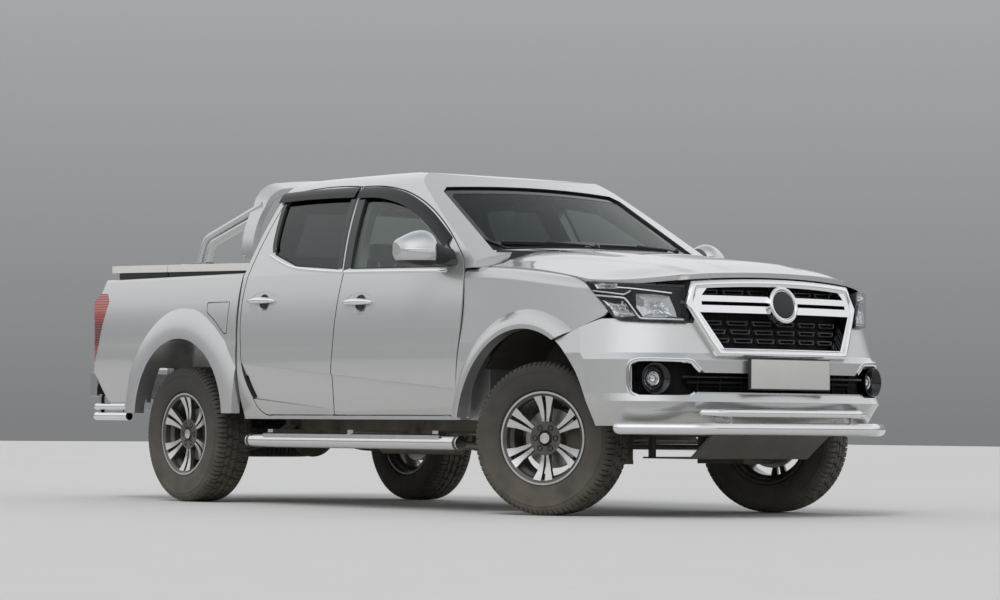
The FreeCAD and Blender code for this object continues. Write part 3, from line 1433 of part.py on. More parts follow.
def rear_bumper():
    block = prism(REAR_BUMPER_PLAN, "XY", 600.0, 736.0)
    step = box(REAR_END_X, -2580, -360, 360, 690, 760)
    block = block.cut(step)
    block = block.cut(Part.makeCylinder(12.5, 120.0, V(-2618.0, 0, 590.0)))
    parts = [block]
    for y in (-RAIL_Y, RAIL_Y):
        parts.append(box(-2600, -2500 - SEAT_GAP, y - 30, y + 30, 520, 588))
        parts.append(box(-2600, -2560, y - 30, y + 30, 520, 640))
    for z, front_x, radius in CORNER_TUBES:
        for side in (-1, 1):
            parts.append(pipe([(front_x, side * 846, z), (-2490.0, side * 846, z), (-2600.0, side * 660, z),
                               (-2600.0, side * 550, z)], radius, 90.0))
    for side in (-1, 1):
        parts.append(box(-2606, -2594, side * 560 - 30, side * 560 + 30, 470, 620))
        parts.append(box(-2425, -2405, side * 846 - 12, side * 846 + 12, 482, 610))
    return fuse(parts)


def spare_wheel():
    z = 372.0
    body = tyre()
    disc = ring([(0.0, -40.0), (90.0, -40.0), (120.0, -20.0), (200.0, -20.0), (200.0, 0.0), (110.0, 0.0), (80.0, -20.0),
                 (0.0, -20.0)])
    wheel = Part.makeCompound(body.Solids + barrel().fuse(disc).Solids)
    wheel.rotate(V(0, 0, 0), V(1, 0, 0), 90.0)
    wheel.translate(V(SPARE_X, 0, z))
    post = Part.makeCylinder(20.0, 515.0 - SEAT_GAP - 340.0, V(SPARE_X, 0, 340.0))
    solids = wheel.Solids
    return Part.makeCompound([solids[0], solids[1].fuse(post).removeSplitter()])


def fuel_tank():
    tank = prism([(-530, 300), (60, 300), (90, 330), (90, 450), (-550, 450), (-550, 320)], "XZ", 470.0, 720.0)
    straps = [box(x, x + 40, 435.3, 500.0, 400, 440) for x in (-450.0, -80.0)]
    return fuse([tank] + straps)


def exhaust():
    y = -264.0
    z = 335.0
    front = pipe([(1500, y, 560), (1500, y, z), (290, y, z)], 24.0, 60.0)
    can = rod((300, y, z), (-380, y, z), 50.0)
    tail = rod((-370, y, z), (-900, y, z), 24.0)
    hangers = [rod((150, -264, 340), (150, -264, 390.7), 10.0), rod((-740, -264, 340), (-740, -264, 390.7), 10.0)]
    manifold = box(1474, 1526, -288, -235.3, 530, 600)
    return fuse([front, can, tail, manifold] + hangers)


def seats():
    floor = CAB_FLOOR_Z + CAB_FLOOR_THICK + SEAT_GAP
    parts = []
    for side in (-1, 1):
        y = side * 380.0
        base = box(0, 380, y - 170, y + 170, floor, 690)
        cushion = prism([(-80, 660), (430, 690), ((460, 730), (430, 780)), (-60, 740)], "XZ", y - 255, y + 255)
        back = prism([(-110, 680), (0, 700), (-150, 1270), ((-190, 1300), (-240, 1270))], "XZ", y - 240, y + 240)
        rest = prism([(-250, 1310), (-170, 1310), (-185, 1450), (-265, 1440)], "XZ", y - 130, y + 130)
        post = prism([(-220, 1250), (-200, 1250), (-215, 1330), (-235, 1330)], "XZ", y - 60, y + 60)
        parts.append(fuse([base, cushion, back, rest, post]))
    bench_base = box(-700, -400, -640, 640, floor, 670)
    bench_base = bench_base.cut(box(-800, -300, -TUNNEL_Y - 20, TUNNEL_Y + 20, 500, TUNNEL_TOP_Z + 16))
    bench = prism([(-720, 660), (-360, 664), ((-340, 700), (-370, 740)), (-700, 730)], "XZ", -690.0, 690.0)
    bench_back = prism([(-790, 680), (-660, 690), (-720, 1240), (-800, 1230)], "XZ", -690.0, 690.0)
    parts.append(fuse([bench_base, bench, bench_back]))
    return Part.makeCompound(parts)


def dashboard():
    front = FIREWALL_X - 90.0 - SEAT_GAP
    body = prism([(front, 860), (front, 1180), (1087, 1184), (1078, 1238), (860, 1250), (770, 1200), (760, 1060), (840, 900)],
                 "XZ", -724.0, 724.0)
    wheel = Part.makeTorus(185.0, 16.0, V(0, 0, 0), V(0, 0, 1))
    hub = Part.makeCylinder(60.0, 40.0, V(0, 0, -20))
    bars = [box(-180, 180, -18, 18, -8, 8), box(-18, 18, -180, 0, -8, 8)]
    turned = fuse([wheel, hub] + bars)
    turned.rotate(V(0, 0, 0), V(0, 0, 1), 90.0)
    turned.rotate(V(0, 0, 0), V(0, 1, 0), -66.0)
    turned.translate(V(640.0, DRIVER_Y, 1090.0))
    column = rod((640, DRIVER_Y, 1090), (900, DRIVER_Y, 975), 34.0)
    console = box(300, 900, -120, 120, TUNNEL_TOP_Z + 15 + SEAT_GAP, 900)
    return fuse([body, turned, column, console])


def main():
    os.makedirs(PARTS, exist_ok=True)
    save("cab_shell", cab_shell())
    save("cab_glass", cab_glass())
    front_door = door(FRONT_DOOR, FRONT_WINDOW, HANDLE_FRONT)
    rear_door = door(REAR_DOOR, REAR_WINDOW, HANDLE_REAR)
    front_glass = door_glass(FRONT_WINDOW)
    rear_glass = door_glass(REAR_WINDOW)
    side_mirror = mirror()
    turning_knuckle = knuckle()
    wheel_tyre = tyre()
    wheel_rim = rim()
    for side, place in (("right", lambda s: s), ("left", mirrored)):
        save("door_front_" + side, place(front_door))
        save("door_rear_" + side, place(rear_door))
        save("glass_front_" + side, place(front_glass))
        save("glass_rear_" + side, place(rear_glass))
        save("mirror_" + side, place(side_mirror))
        save("knuckle_" + side, at_front_wheel(turning_knuckle, side))
        save("tyre_front_" + side, at_front_wheel(wheel_tyre, side))
        save("rim_front_" + side, at_front_wheel(wheel_rim, side))
        save("tyre_rear_" + side, at_rear_wheel(wheel_tyre, side))
        save("rim_rear_" + side, at_rear_wheel(wheel_rim, side))
    save("fenders", pair(fender()))
    save("hood", hood())
    save("front_bumper", front_bumper())
    save("intake_panel", intake_panel())
    save("grille_frame", grille_frame())
    save("grille_mesh", grille_mesh())
    save("front_lamps", front_lamps())
    save("front_guard", front_guard())
    save("skid_plate", skid_plate())
    save("load_bed", bed())
    save("tail_lamps", tail_lamps())
    save("tailgate", tailgate())
    save("fuel_flap", fuel_flap())
    save("cover_front", cover_front())
    save("cover_rear", cover_rear())
    save("sports_bar", sports_bar())
    save("chassis_frame", chassis_frame())
    save("steering_link", steering_link())
    save("front_arms", front_arms())
    save("rear_axle", rear_axle())
    save("engine", engine())
    save("driveline", driveline())
    save("inner_wings", inner_wings())
    save("engine_bay", engine_bay())
    save("side_steps", side_steps())
    save("rear_bumper", rear_bumper())
    save("spare_wheel", spare_wheel())
    save("fuel_tank", fuel_tank())
    save("exhaust", exhaust())
    save("seats", seats())
    save("dashboard", dashboard())


main()
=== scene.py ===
import bpy
import bmesh
import json
import math
from mathutils import Matrix, Vector
from mathutils.bvhtree import BVHTree


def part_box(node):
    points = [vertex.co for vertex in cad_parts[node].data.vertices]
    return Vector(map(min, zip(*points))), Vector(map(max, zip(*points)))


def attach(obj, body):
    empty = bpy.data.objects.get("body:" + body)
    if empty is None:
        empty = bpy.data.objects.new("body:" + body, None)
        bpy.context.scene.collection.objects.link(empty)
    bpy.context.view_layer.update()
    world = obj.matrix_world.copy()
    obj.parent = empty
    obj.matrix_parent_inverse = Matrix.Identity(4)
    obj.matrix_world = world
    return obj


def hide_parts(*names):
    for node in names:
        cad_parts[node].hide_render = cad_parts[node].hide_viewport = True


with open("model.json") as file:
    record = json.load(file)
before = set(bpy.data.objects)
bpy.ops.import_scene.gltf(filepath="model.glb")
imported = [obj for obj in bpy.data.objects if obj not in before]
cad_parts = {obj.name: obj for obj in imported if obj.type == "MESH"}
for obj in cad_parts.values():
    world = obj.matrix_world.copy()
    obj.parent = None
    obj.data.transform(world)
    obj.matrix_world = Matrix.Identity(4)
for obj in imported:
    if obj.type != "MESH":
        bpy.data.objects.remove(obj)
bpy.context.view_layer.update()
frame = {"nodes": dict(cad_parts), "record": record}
NODES = frame["nodes"]
SIDES = (("right", -1.0), ("left", 1.0))

# Wheels: centres and outboard axes at rest, in metres
FRONT_AXLE_X = 1.690
REAR_AXLE_X = -1.460
TYRE_R = 0.382
HALF_TRACK = 0.785
KINGPIN_Y = 0.699
STEER_AT_REST = math.radians(24.0)


# Shader helpers

def new_node(tree, kind, **settings):
    node = tree.nodes.new(kind)
    for key, value in settings.items():
        setattr(node, key, value)
    return node


def feed(tree, socket, value):
    """Links an output socket into an input, or sets a plain number or colour on it."""
    if isinstance(value, bpy.types.NodeSocket):
        tree.links.new(value, socket)
    else:
        socket.default_value = value


def calc(tree, operation, first, second=0.0, clamp=False):
    node = new_node(tree, "ShaderNodeMath", operation=operation, use_clamp=clamp)
    feed(tree, node.inputs[0], first)
    feed(tree, node.inputs[1], second)
    return node.outputs[0]


def spread(tree, value, low, high, to_low, to_high):
    """Maps a value from one range to another, held at its ends."""
    node = new_node(tree, "ShaderNodeMapRange", clamp=True)
    for index, number in enumerate((value, low, high, to_low, to_high)):
        feed(tree, node.inputs[index], number)
    return node.outputs[0]


def bump_node(tree, distance, height):
    node = new_node(tree, "ShaderNodeBump")
    feed(tree, node.inputs["Distance"], distance)
    feed(tree, node.inputs["Height"], height)
    return node


def set_bands(ramp, bands):
    """Fills a colour ramp with (place, colour) rows."""
    stops = ramp.color_ramp.elements
    while len(stops) < len(bands):
        stops.new(0.5)
    for stop, (place, colour) in zip(stops, bands):
        stop.position = place
        stop.color = colour


def blend_colour(tree, mask, first, second):
    node = new_node(tree, "ShaderNodeMix", data_type="RGBA")
    feed(tree, node.inputs["Factor"], mask)
    feed(tree, node.inputs[6], first)
    feed(tree, node.inputs[7], second)
    return node.outputs[2]


def object_point(tree):
    return new_node(tree, "ShaderNodeTexCoord").outputs["Object"]


def noise(tree, point, scale, detail=2.0):
    node = new_node(tree, "ShaderNodeTexNoise")
    feed(tree, node.inputs["Vector"], point)
    feed(tree, node.inputs["Scale"], scale)
    feed(tree, node.inputs["Detail"], detail)
    return node.outputs["Fac"]


def shader_group(name, inputs, outputs):
    """An empty node group with float inputs and outputs, and its two end nodes."""
    group = bpy.data.node_groups.new(name, "ShaderNodeTree")
    for socket_name, value in inputs:
        kind = "NodeSocketVector" if isinstance(value, tuple) else "NodeSocketFloat"
        socket = group.interface.new_socket(socket_name, in_out="INPUT", socket_type=kind)
        socket.default_value = value
    for socket_name, kind in outputs:
        group.interface.new_socket(socket_name, in_out="OUTPUT", socket_type=kind)
    return group, group.nodes.new("NodeGroupInput"), group.nodes.new("NodeGroupOutput")


def fine_grain_group():
    """Grain: a fine and a coarse noise. Mask for tone and roughness, Height for the bump."""
    group, entry, leave = shader_group("fine_grain", [("Scale", 200.0), ("Stretch", (1.0, 1.0, 1.0))],
                                       [("Mask", "NodeSocketFloat"), ("Height", "NodeSocketFloat")])
    stretch = new_node(group, "ShaderNodeVectorMath", operation="MULTIPLY")
    feed(group, stretch.inputs[0], object_point(group))
    feed(group, stretch.inputs[1], entry.outputs["Stretch"])
    fine = noise(group, stretch.outputs[0], entry.outputs["Scale"], 3.0)
    coarse = noise(group, stretch.outputs[0], calc(group, "MULTIPLY", entry.outputs["Scale"], 0.045), 4.0)
    both = calc(group, "ADD", calc(group, "MULTIPLY", fine, 0.45), calc(group, "MULTIPLY", coarse, 0.55))
    feed(group, leave.inputs["Mask"], spread(group, both, 0.3, 0.7, 0.0, 1.0))
    feed(group, leave.inputs["Height"], fine)
    return group


def road_dust_group():
    """Dust that fades out upwards, in soft patches."""
    group, entry, leave = shader_group("road_dust", [("Amount", 0.5), ("Top", 0.8), ("Patch Scale", 9.0)],
                                       [("Mask", "NodeSocketFloat")])
    point = object_point(group)
    split = new_node(group, "ShaderNodeSeparateXYZ")
    feed(group, split.inputs[0], point)
    fade = spread(group, split.outputs["Z"], 0.1, entry.outputs["Top"], 1.0, 0.0)
    patches = spread(group, noise(group, point, entry.outputs["Patch Scale"], 8.0), 0.30, 0.72, 0.45, 1.0)
    mask = calc(group, "MULTIPLY", calc(group, "MULTIPLY", fade, patches), entry.outputs["Amount"], True)
    feed(group, leave.inputs["Mask"], mask)
    return group


def edge_wear_group():
    """Rubbed edges, from the angle between the true surface and its rounded edge."""
    group, entry, leave = shader_group("edge_wear", [("Width", 0.003), ("Amount", 0.5)],
                                       [("Mask", "NodeSocketFloat")])
    rounded = new_node(group, "ShaderNodeBevel", samples=4)
    feed(group, rounded.inputs["Radius"], entry.outputs["Width"])
    surface = new_node(group, "ShaderNodeNewGeometry")
    match = new_node(group, "ShaderNodeVectorMath", operation="DOT_PRODUCT")
    feed(group, match.inputs[0], rounded.outputs["Normal"])
    feed(group, match.inputs[1], surface.outputs["Normal"])
    edge = spread(group, match.outputs["Value"], 0.995, 0.86, 0.0, 1.0)
    ragged = spread(group, noise(group, object_point(group), 120.0, 4.0), 0.4, 0.62, 0.0, 1.0)
    mask = calc(group, "MULTIPLY", calc(group, "MULTIPLY", edge, ragged), entry.outputs["Amount"], True)
    feed(group, leave.inputs["Mask"], mask)
    return group


def wheel_zone_group():
    """Where a point lies on a wheel: distance from its axis, depth along it, how far it faces out."""
    group, entry, leave = shader_group("wheel_zone",
                                       [("Centre", (0.0, 0.0, 0.0)), ("Axis", (0.0, -1.0, 0.0))],
                                       [("Radius", "NodeSocketFloat"), ("Depth", "NodeSocketFloat"),
                                        ("Facing", "NodeSocketFloat")])
    offset = new_node(group, "ShaderNodeVectorMath", operation="SUBTRACT")
    feed(group, offset.inputs[0], object_point(group))
    feed(group, offset.inputs[1], entry.outputs["Centre"])
    depth = new_node(group, "ShaderNodeVectorMath", operation="DOT_PRODUCT")
    feed(group, depth.inputs[0], offset.outputs[0])
    feed(group, depth.inputs[1], entry.outputs["Axis"])
    across = new_node(group, "ShaderNodeVectorMath", operation="CROSS_PRODUCT")
    feed(group, across.inputs[0], offset.outputs[0])
    feed(group, across.inputs[1], entry.outputs["Axis"])
    radius = new_node(group, "ShaderNodeVectorMath", operation="LENGTH")
    feed(group, radius.inputs[0], across.outputs[0])
    turn = new_node(group, "ShaderNodeVectorTransform", vector_type="NORMAL", convert_from="WORLD",
                    convert_to="OBJECT")
    feed(group, turn.inputs[0], new_node(group, "ShaderNodeNewGeometry").outputs["Normal"])
    facing = new_node(group, "ShaderNodeVectorMath", operation="DOT_PRODUCT")
    feed(group, facing.inputs[0], turn.outputs[0])
    feed(group, facing.inputs[1], entry.outputs["Axis"])
    feed(group, leave.inputs["Radius"], radius.outputs["Value"])
    feed(group, leave.inputs["Depth"], depth.outputs["Value"])
    feed(group, leave.inputs["Facing"], facing.outputs["Value"])
    return group


def weave_group():
    """Cloth: two crossing sets of threads. Height for the bump, Mask for the tone."""
    group, entry, leave = shader_group("weave", [("Threads", 700.0)],
                                       [("Height", "NodeSocketFloat"), ("Mask", "NodeSocketFloat")])
    split = new_node(group, "ShaderNodeSeparateXYZ")
    feed(group, split.inputs[0], object_point(group))
    along = calc(group, "ADD", split.outputs["X"], split.outputs["Z"])
    warp = calc(group, "SINE", calc(group, "MULTIPLY", along, entry.outputs["Threads"]))
    weft = calc(group, "SINE", calc(group, "MULTIPLY", split.outputs["Y"], entry.outputs["Threads"]))
    height = calc(group, "MULTIPLY", warp, weft)
    feed(group, leave.inputs["Height"], height)
    feed(group, leave.inputs["Mask"], spread(group, height, -1.0, 1.0, 0.0, 1.0))
    return group


GRAIN = fine_grain_group()
DUST = road_dust_group()
WEAR = edge_wear_group()
WHEEL_ZONE = wheel_zone_group()
WEAVE = weave_group()
DUST_COLOUR = (0.34, 0.29, 0.22, 1)


def place_group(tree, group, **values):
    node = new_node(tree, "ShaderNodeGroup", node_tree=group)
    for socket_name, value in values.items():
        feed(tree, node.inputs[socket_name.replace("_", " ")], value)
    return node


def shader_of(material):
    return material.node_tree.nodes["Principled BSDF"]


def new_material(name):
    material = bpy.data.materials.new(name)
    material.use_nodes = True
    return material, material.node_tree, shader_of(material)


def finish(name, colour, rough, grain=(200.0, 0.06, 0.05, 0.0), stretch=(1.0, 1.0, 1.0), dust=(0.0, 0.8),
           wear=None, round_edges=0.0, **sockets):
    """A material: colour with grain, dust and worn edges.

    grain is scale, tone spread, roughness spread and bump height; dust is amount and top; wear is width,
    amount and colour.
    """
    material, tree, shader = new_material(name)
    for socket, value in sockets.items():
        shader.inputs[socket.replace("_", " ")].default_value = value
    scale, tone, rough_spread, bump_height = grain
    grains = place_group(tree, GRAIN, Scale=scale, Stretch=stretch)
    dark = tuple(channel * (1.0 - tone) for channel in colour) + (1,)
    light = tuple(min(channel * (1.0 + tone), 1.0) for channel in colour) + (1,)
    base = blend_colour(tree, grains.outputs["Mask"], dark, light)
    roughness = spread(tree, grains.outputs["Mask"], 0.0, 1.0, max(rough - rough_spread, 0.02),
                       rough + rough_spread)
    if wear:
        width, amount, wear_colour = wear
        worn = place_group(tree, WEAR, Width=width, Amount=amount).outputs["Mask"]
        base = blend_colour(tree, worn, base, wear_colour)
    amount, top = dust
    if amount > 0.0:
        dusty = place_group(tree, DUST, Amount=amount, Top=top).outputs["Mask"]
        base = blend_colour(tree, dusty, base, DUST_COLOUR)
        roughness = calc(tree, "ADD", roughness, calc(tree, "MULTIPLY", dusty, 0.4), True)
    feed(tree, shader.inputs["Base Color"], base)
    feed(tree, shader.inputs["Roughness"], roughness)
    bump = bump_node(tree, bump_height, grains.outputs["Height"])
    if round_edges > 0.0:
        rounded = new_node(tree, "ShaderNodeBevel", samples=4)
        feed(tree, rounded.inputs["Radius"], round_edges)
        feed(tree, bump.inputs["Normal"], rounded.outputs["Normal"])
    feed(tree, shader.inputs["Normal"], bump.outputs["Normal"])
    return material


silver_paint = finish("silver_paint", (0.60, 0.60, 0.595), 0.31, (900.0, 0.015, 0.012, 0.0),
                      dust=(0.20, 0.62),
                      round_edges=0.003, Metallic=0.82, Coat_Weight=1.0, Coat_Roughness=0.03)
chrome = finish("chrome_trim", (0.86, 0.86, 0.87), 0.06, (60.0, 0.02, 0.02, 0.0), round_edges=0.0015,
                Metallic=1.0)
polished_steel = finish("polished_steel", (0.80, 0.80, 0.80), 0.10, (300.0, 0.03, 0.03, 0.0),
                        stretch=(1.0, 0.08, 1.0), dust=(0.20, 0.5), Metallic=1.0)
hoop_silver = finish("hoop_silver", (0.60, 0.60, 0.60), 0.24, (400.0, 0.02, 0.02, 0.0), round_edges=0.003,
                     Metallic=0.9, Coat_Weight=0.5)
black_plastic = finish("black_plastic", (0.017, 0.017, 0.018), 0.48, (900.0, 0.2, 0.08, 0.00008),
                       dust=(0.35, 0.8),
                       round_edges=0.001)
gloss_black = finish("gloss_black", (0.006, 0.006, 0.007), 0.12, (40.0, 0.1, 0.03, 0.0), Coat_Weight=0.2,
                     Coat_Roughness=0.03)
deep_black = finish("deep_black", (0.006, 0.006, 0.006), 0.75, (300.0, 0.2, 0.08, 0.0),
                    Specular_IOR_Level=0.2)
smoked_visor = finish("smoked_visor", (0.006, 0.006, 0.007), 0.14, (40.0, 0.1, 0.02, 0.0),
                      Specular_IOR_Level=0.28)
rubber_seal = finish("rubber_seal", (0.012, 0.012, 0.012), 0.6, (500.0, 0.15, 0.08, 0.00005))
tyre_rubber = finish("tyre_rubber", (0.018, 0.018, 0.018), 0.66, (420.0, 0.2, 0.08, 0.0001),
                     dust=(0.30, 0.85))
frame_black = finish("frame_black", (0.022, 0.022, 0.023), 0.5, (160.0, 0.2, 0.12, 0.0001), dust=(0.7, 1.0),
                     wear=(0.004, 0.35, (0.12, 0.10, 0.09, 1)), Metallic=0.2)
cast_iron = finish("cast_iron", (0.055, 0.053, 0.05), 0.62, (130.0, 0.3, 0.15, 0.0004), dust=(0.6, 0.9),
                   Metallic=0.5)
engine_metal = finish("engine_metal", (0.20, 0.20, 0.20), 0.45, (140.0, 0.25, 0.12, 0.0003), dust=(0.4, 1.1),
                      wear=(0.004, 0.4, (0.42, 0.42, 0.41, 1)), Metallic=0.7)
exhaust_steel = finish("exhaust_steel", (0.30, 0.26, 0.22), 0.42, (50.0, 0.3, 0.15, 0.0001), dust=(0.6, 0.8),
                       Metallic=0.9)
skid_silver = finish("skid_plate_paint", (0.10, 0.10, 0.105), 0.42, (260.0, 0.15, 0.1, 0.00008),
                     dust=(0.6, 0.6),
                     wear=(0.005, 0.5, (0.4, 0.4, 0.4, 1)), round_edges=0.003, Metallic=0.6)
cover_satin = finish("cover_satin", (0.74, 0.72, 0.68), 0.40, (700.0, 0.03, 0.04, 0.00002),
                     round_edges=0.003,
                     Metallic=0.25)
cabin_plastic = finish("cabin_plastic", (0.030, 0.030, 0.032), 0.6, (700.0, 0.2, 0.08, 0.0001))
dark_alloy = finish("dark_alloy", (0.035, 0.035, 0.037), 0.4, (400.0, 0.2, 0.08, 0.00005), dust=(0.3, 0.8),
                    Metallic=0.5)
plate_white = finish("plate_blank", (0.50, 0.49, 0.47), 0.35, (300.0, 0.04, 0.06, 0.00002))
reflector = finish("lamp_reflector", (0.74, 0.74, 0.75), 0.10, (60.0, 0.03, 0.02, 0.0), Metallic=1.0)
grille_satin = finish("grille_satin", (0.085, 0.085, 0.088), 0.32, (300.0, 0.1, 0.05, 0.0), Metallic=0.5)
lamp_bezel = finish("lamp_bezel", (0.022, 0.022, 0.024), 0.25, (300.0, 0.1, 0.05, 0.0), Metallic=0.3)


def glass(name, colour, thick_tint=1.0, **sockets):
    """Clear or tinted glass with a trace of film on it."""
    material, tree, shader = new_material(name)
    shader.inputs["Transmission Weight"].default_value = thick_tint
    shader.inputs["IOR"].default_value = 1.45
    for socket, value in sockets.items():
        shader.inputs[socket.replace("_", " ")].default_value = value
    grains = place_group(tree, GRAIN, Scale=30.0)
    dark = tuple(channel * 0.96 for channel in colour) + (1,)
    feed(tree, shader.inputs["Base Color"], blend_colour(tree, grains.outputs["Mask"], dark, colour + (1,)))
    feed(tree, shader.inputs["Roughness"], spread(tree, grains.outputs["Mask"], 0.0, 1.0, 0.01, 0.03))
    return material


screen_glass = glass("screen_glass", (0.40, 0.47, 0.44))
windscreen_glass = glass("windscreen_glass", (0.40, 0.47, 0.44), IOR=1.15)
tinted_glass = glass("tinted_glass", (0.13, 0.14, 0.145))
lamp_glass = glass("lamp_glass", (0.94, 0.95, 0.96))
red_lens = glass("red_lens", (0.62, 0.015, 0.012))
mirror_silver = finish("mirror_silver", (0.82, 0.84, 0.85), 0.03, (40.0, 0.01, 0.01, 0.0), Metallic=1.0)


def glow(name, colour, strength):
    """A glowing element behind its lens, brighter in its middle grain. The stop lamp and the headlamp strip
    are lamps; on the rear reflectors, which are no lamps, the glow is painted light.
    """
    material = finish(name, colour, 0.3, (80.0, 0.05, 0.05, 0.0))
    shader = shader_of(material)
    shader.inputs["Emission Color"].default_value = colour + (1,)
    shader.inputs["Emission Strength"].default_value = strength
    return material


lit_white = glow("lit_white", (0.95, 0.97, 1.0), 0.5)
red_glow = glow("red_glow", (0.55, 0.02, 0.015), 0.25)


def seat_fabric():
    """Woven seat cloth with its threads as bump and tone."""
    material = finish("seat_fabric", (0.035, 0.036, 0.04), 0.85, (300.0, 0.2, 0.05, 0.0))
    tree = material.node_tree
    shader = shader_of(material)
    threads = place_group(tree, WEAVE, Threads=1800.0)
    bump = bump_node(tree, 0.0001, threads.outputs["Height"])
    feed(tree, shader.inputs["Normal"], bump.outputs["Normal"])
    shader.inputs["Sheen Weight"].default_value = 0.3
    return material


cloth = seat_fabric()


def wheel_place(side, axle):
    """Centre and outboard axis of a wheel as it stands at rest."""
    sign = dict(SIDES)[side]
    if axle == "rear":
        return Vector((REAR_AXLE_X, sign * HALF_TRACK, TYRE_R)), Vector((0.0, sign, 0.0))
    turn = Matrix.Rotation(STEER_AT_REST, 3, "Z")
    arm = turn @ Vector((0.0, sign * (HALF_TRACK - KINGPIN_Y), 0.0))
    centre = Vector((FRONT_AXLE_X, sign * KINGPIN_Y, TYRE_R)) + arm
    return centre, turn @ Vector((0.0, sign, 0.0))


def machined_alloy(name, centre, axis):
    """Diamond-turned spoke faces and lip, with dark painted pockets and a plain steel brake disc behind."""
    material, tree, shader = new_material(name)
    zone = place_group(tree, WHEEL_ZONE, Centre=tuple(centre), Axis=tuple(axis))
    radius = zone.outputs["Radius"]
    depth = zone.outputs["Depth"]
    facing = spread(tree, zone.outputs["Facing"], 0.80, 0.90, 0.0, 1.0)
    front = spread(tree, depth, 0.060, 0.066, 0.0, 1.0)
    outside_hub = spread(tree, radius, 0.083, 0.087, 0.0, 1.0)
    cap = spread(tree, radius, 0.034, 0.031, 0.0, 1.0)
    machined = calc(tree, "MULTIPLY", calc(tree, "MULTIPLY", facing, front),
                    calc(tree, "MAXIMUM", outside_hub, cap))
    disc = spread(tree, depth, 0.030, 0.024, 0.0, 1.0)
    steel = calc(tree, "MULTIPLY", disc, spread(tree, radius, 0.150, 0.147, 0.0, 1.0))
    bright = calc(tree, "MAXIMUM", machined, calc(tree, "MULTIPLY", steel, 0.55))
    grains = place_group(tree, GRAIN, Scale=260.0)
    dark = blend_colour(tree, grains.outputs["Mask"], (0.028, 0.028, 0.03, 1), (0.045, 0.045, 0.048, 1))
    light = blend_colour(tree, grains.outputs["Mask"], (0.66, 0.66, 0.66, 1), (0.74, 0.74, 0.74, 1))
    base = blend_colour(tree, bright, dark, light)
    dusty = place_group(tree, DUST, Amount=0.3, Top=0.9).outputs["Mask"]
    feed(tree, shader.inputs["Base Color"], blend_colour(tree, dusty, base, DUST_COLOUR))
    feed(tree, shader.inputs["Metallic"], spread(tree, bright, 0.0, 1.0, 0.45, 0.95))
    turned = calc(tree, "SINE", calc(tree, "MULTIPLY", radius, 9000.0))
    ridges = calc(tree, "MULTIPLY", turned, bright)
    bump = bump_node(tree, 0.00002, ridges)
    rounded = new_node(tree, "ShaderNodeBevel", samples=4)
    feed(tree, rounded.inputs["Radius"], 0.002)
    feed(tree, bump.inputs["Normal"], rounded.outputs["Normal"])
    feed(tree, shader.inputs["Normal"], bump.outputs["Normal"])
    feed(tree, shader.inputs["Roughness"], spread(tree, bright, 0.0, 1.0, 0.42, 0.24))
    shader.inputs["Coat Weight"].default_value = 0.6
    return material


FINISH = {
    "paint": silver_paint, "chrome": chrome, "steel_tube": polished_steel, "black_trim": black_plastic,
    "frame_black": frame_black, "cast": cast_iron, "engine_metal": engine_metal, "alloy": dark_alloy,
    "tyre": tyre_rubber, "glass": screen_glass, "glass_dark": tinted_glass, "lamp_clear": lamp_glass,
    "lamp_red": red_lens, "cover": cover_satin, "fabric": cloth, "cabin": cabin_plastic,
    "exhaust": exhaust_steel, "skid": skid_silver,
}
node_slots = {row["node"]: row["material_slot"] for row in frame["record"]["subparts"]}
for node_name, node in NODES.items():
    node.data.materials.clear()
    node.data.materials.append(FINISH[node_slots[node_name]])
for side, sign in SIDES:
    for axle in ("front", "rear"):
        centre, axis = wheel_place(side, axle)
        alloy = machined_alloy("machined_alloy_" + axle + "_" + side, centre, axis)
        NODES["rim_" + axle + "_" + side].data.materials[0] = alloy
NODES["sports_bar"].data.materials[0] = hoop_silver


# Mesh toolkit: every maker gives (points, faces)

def piece(name, shape, material, body, slot, replaces=(), smooth=32.0):
    """A mesh object from points and faces, riding on a body."""
    points, faces = shape
    mesh = bpy.data.meshes.new(name)
    mesh.from_pydata([tuple(point) for point in points], [], faces)
    work = bmesh.new()
    work.from_mesh(mesh)
    bmesh.ops.recalc_face_normals(work, faces=work.faces)
    work.to_mesh(mesh)
    work.free()
    mesh.polygons.foreach_set("use_smooth", [True] * len(mesh.polygons))
    mesh.set_sharp_from_angle(angle=math.radians(smooth))
    mesh.materials.append(material)
    made = bpy.data.objects.new(name, mesh)
    bpy.context.scene.collection.objects.link(made)
    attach(made, body)
    if replaces:
        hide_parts(*replaces)
    return made


def joined(shapes):
    points = []
    faces = []
    for shape_points, shape_faces in shapes:
        start = len(points)
        points.extend(shape_points)
        faces.extend([tuple(index + start for index in face) for face in shape_faces])
    return points, faces


def flipped(shape):
    """The shape mirrored to the other side of the truck."""
    points, faces = shape
    return [Vector((p[0], -p[1], p[2])) for p in points], [tuple(reversed(face)) for face in faces]


def on_side(shape, sign):
    """A right-hand shape, or its mirror for the left."""
    return shape if sign < 0 else flipped(shape)


def side_piece(name, side, right_shape, *rest, **options):
    """The right-hand shape, or its mirror, as the piece of one side."""
    return piece(name + "_" + side, on_side(right_shape, dict(SIDES)[side]), *rest, **options)


def loft(rings, closed=False, caps=True):
    """A skin through rings of equal length; closed joins the last ring to the first."""
    count = len(rings[0])
    points = [point for ring in rings for point in ring]
    faces = []
    spans = len(rings) if closed else len(rings) - 1
    for row in range(spans):
        here = row * count
        there = ((row + 1) % len(rings)) * count
        for column in range(count):
            after = (column + 1) % count
            faces.append((here + column, here + after, there + after, there + column))
    if caps and not closed:
        faces.append(tuple(reversed(range(count))))
        faces.append(tuple(range(len(points) - count, len(points))))
    return points, faces


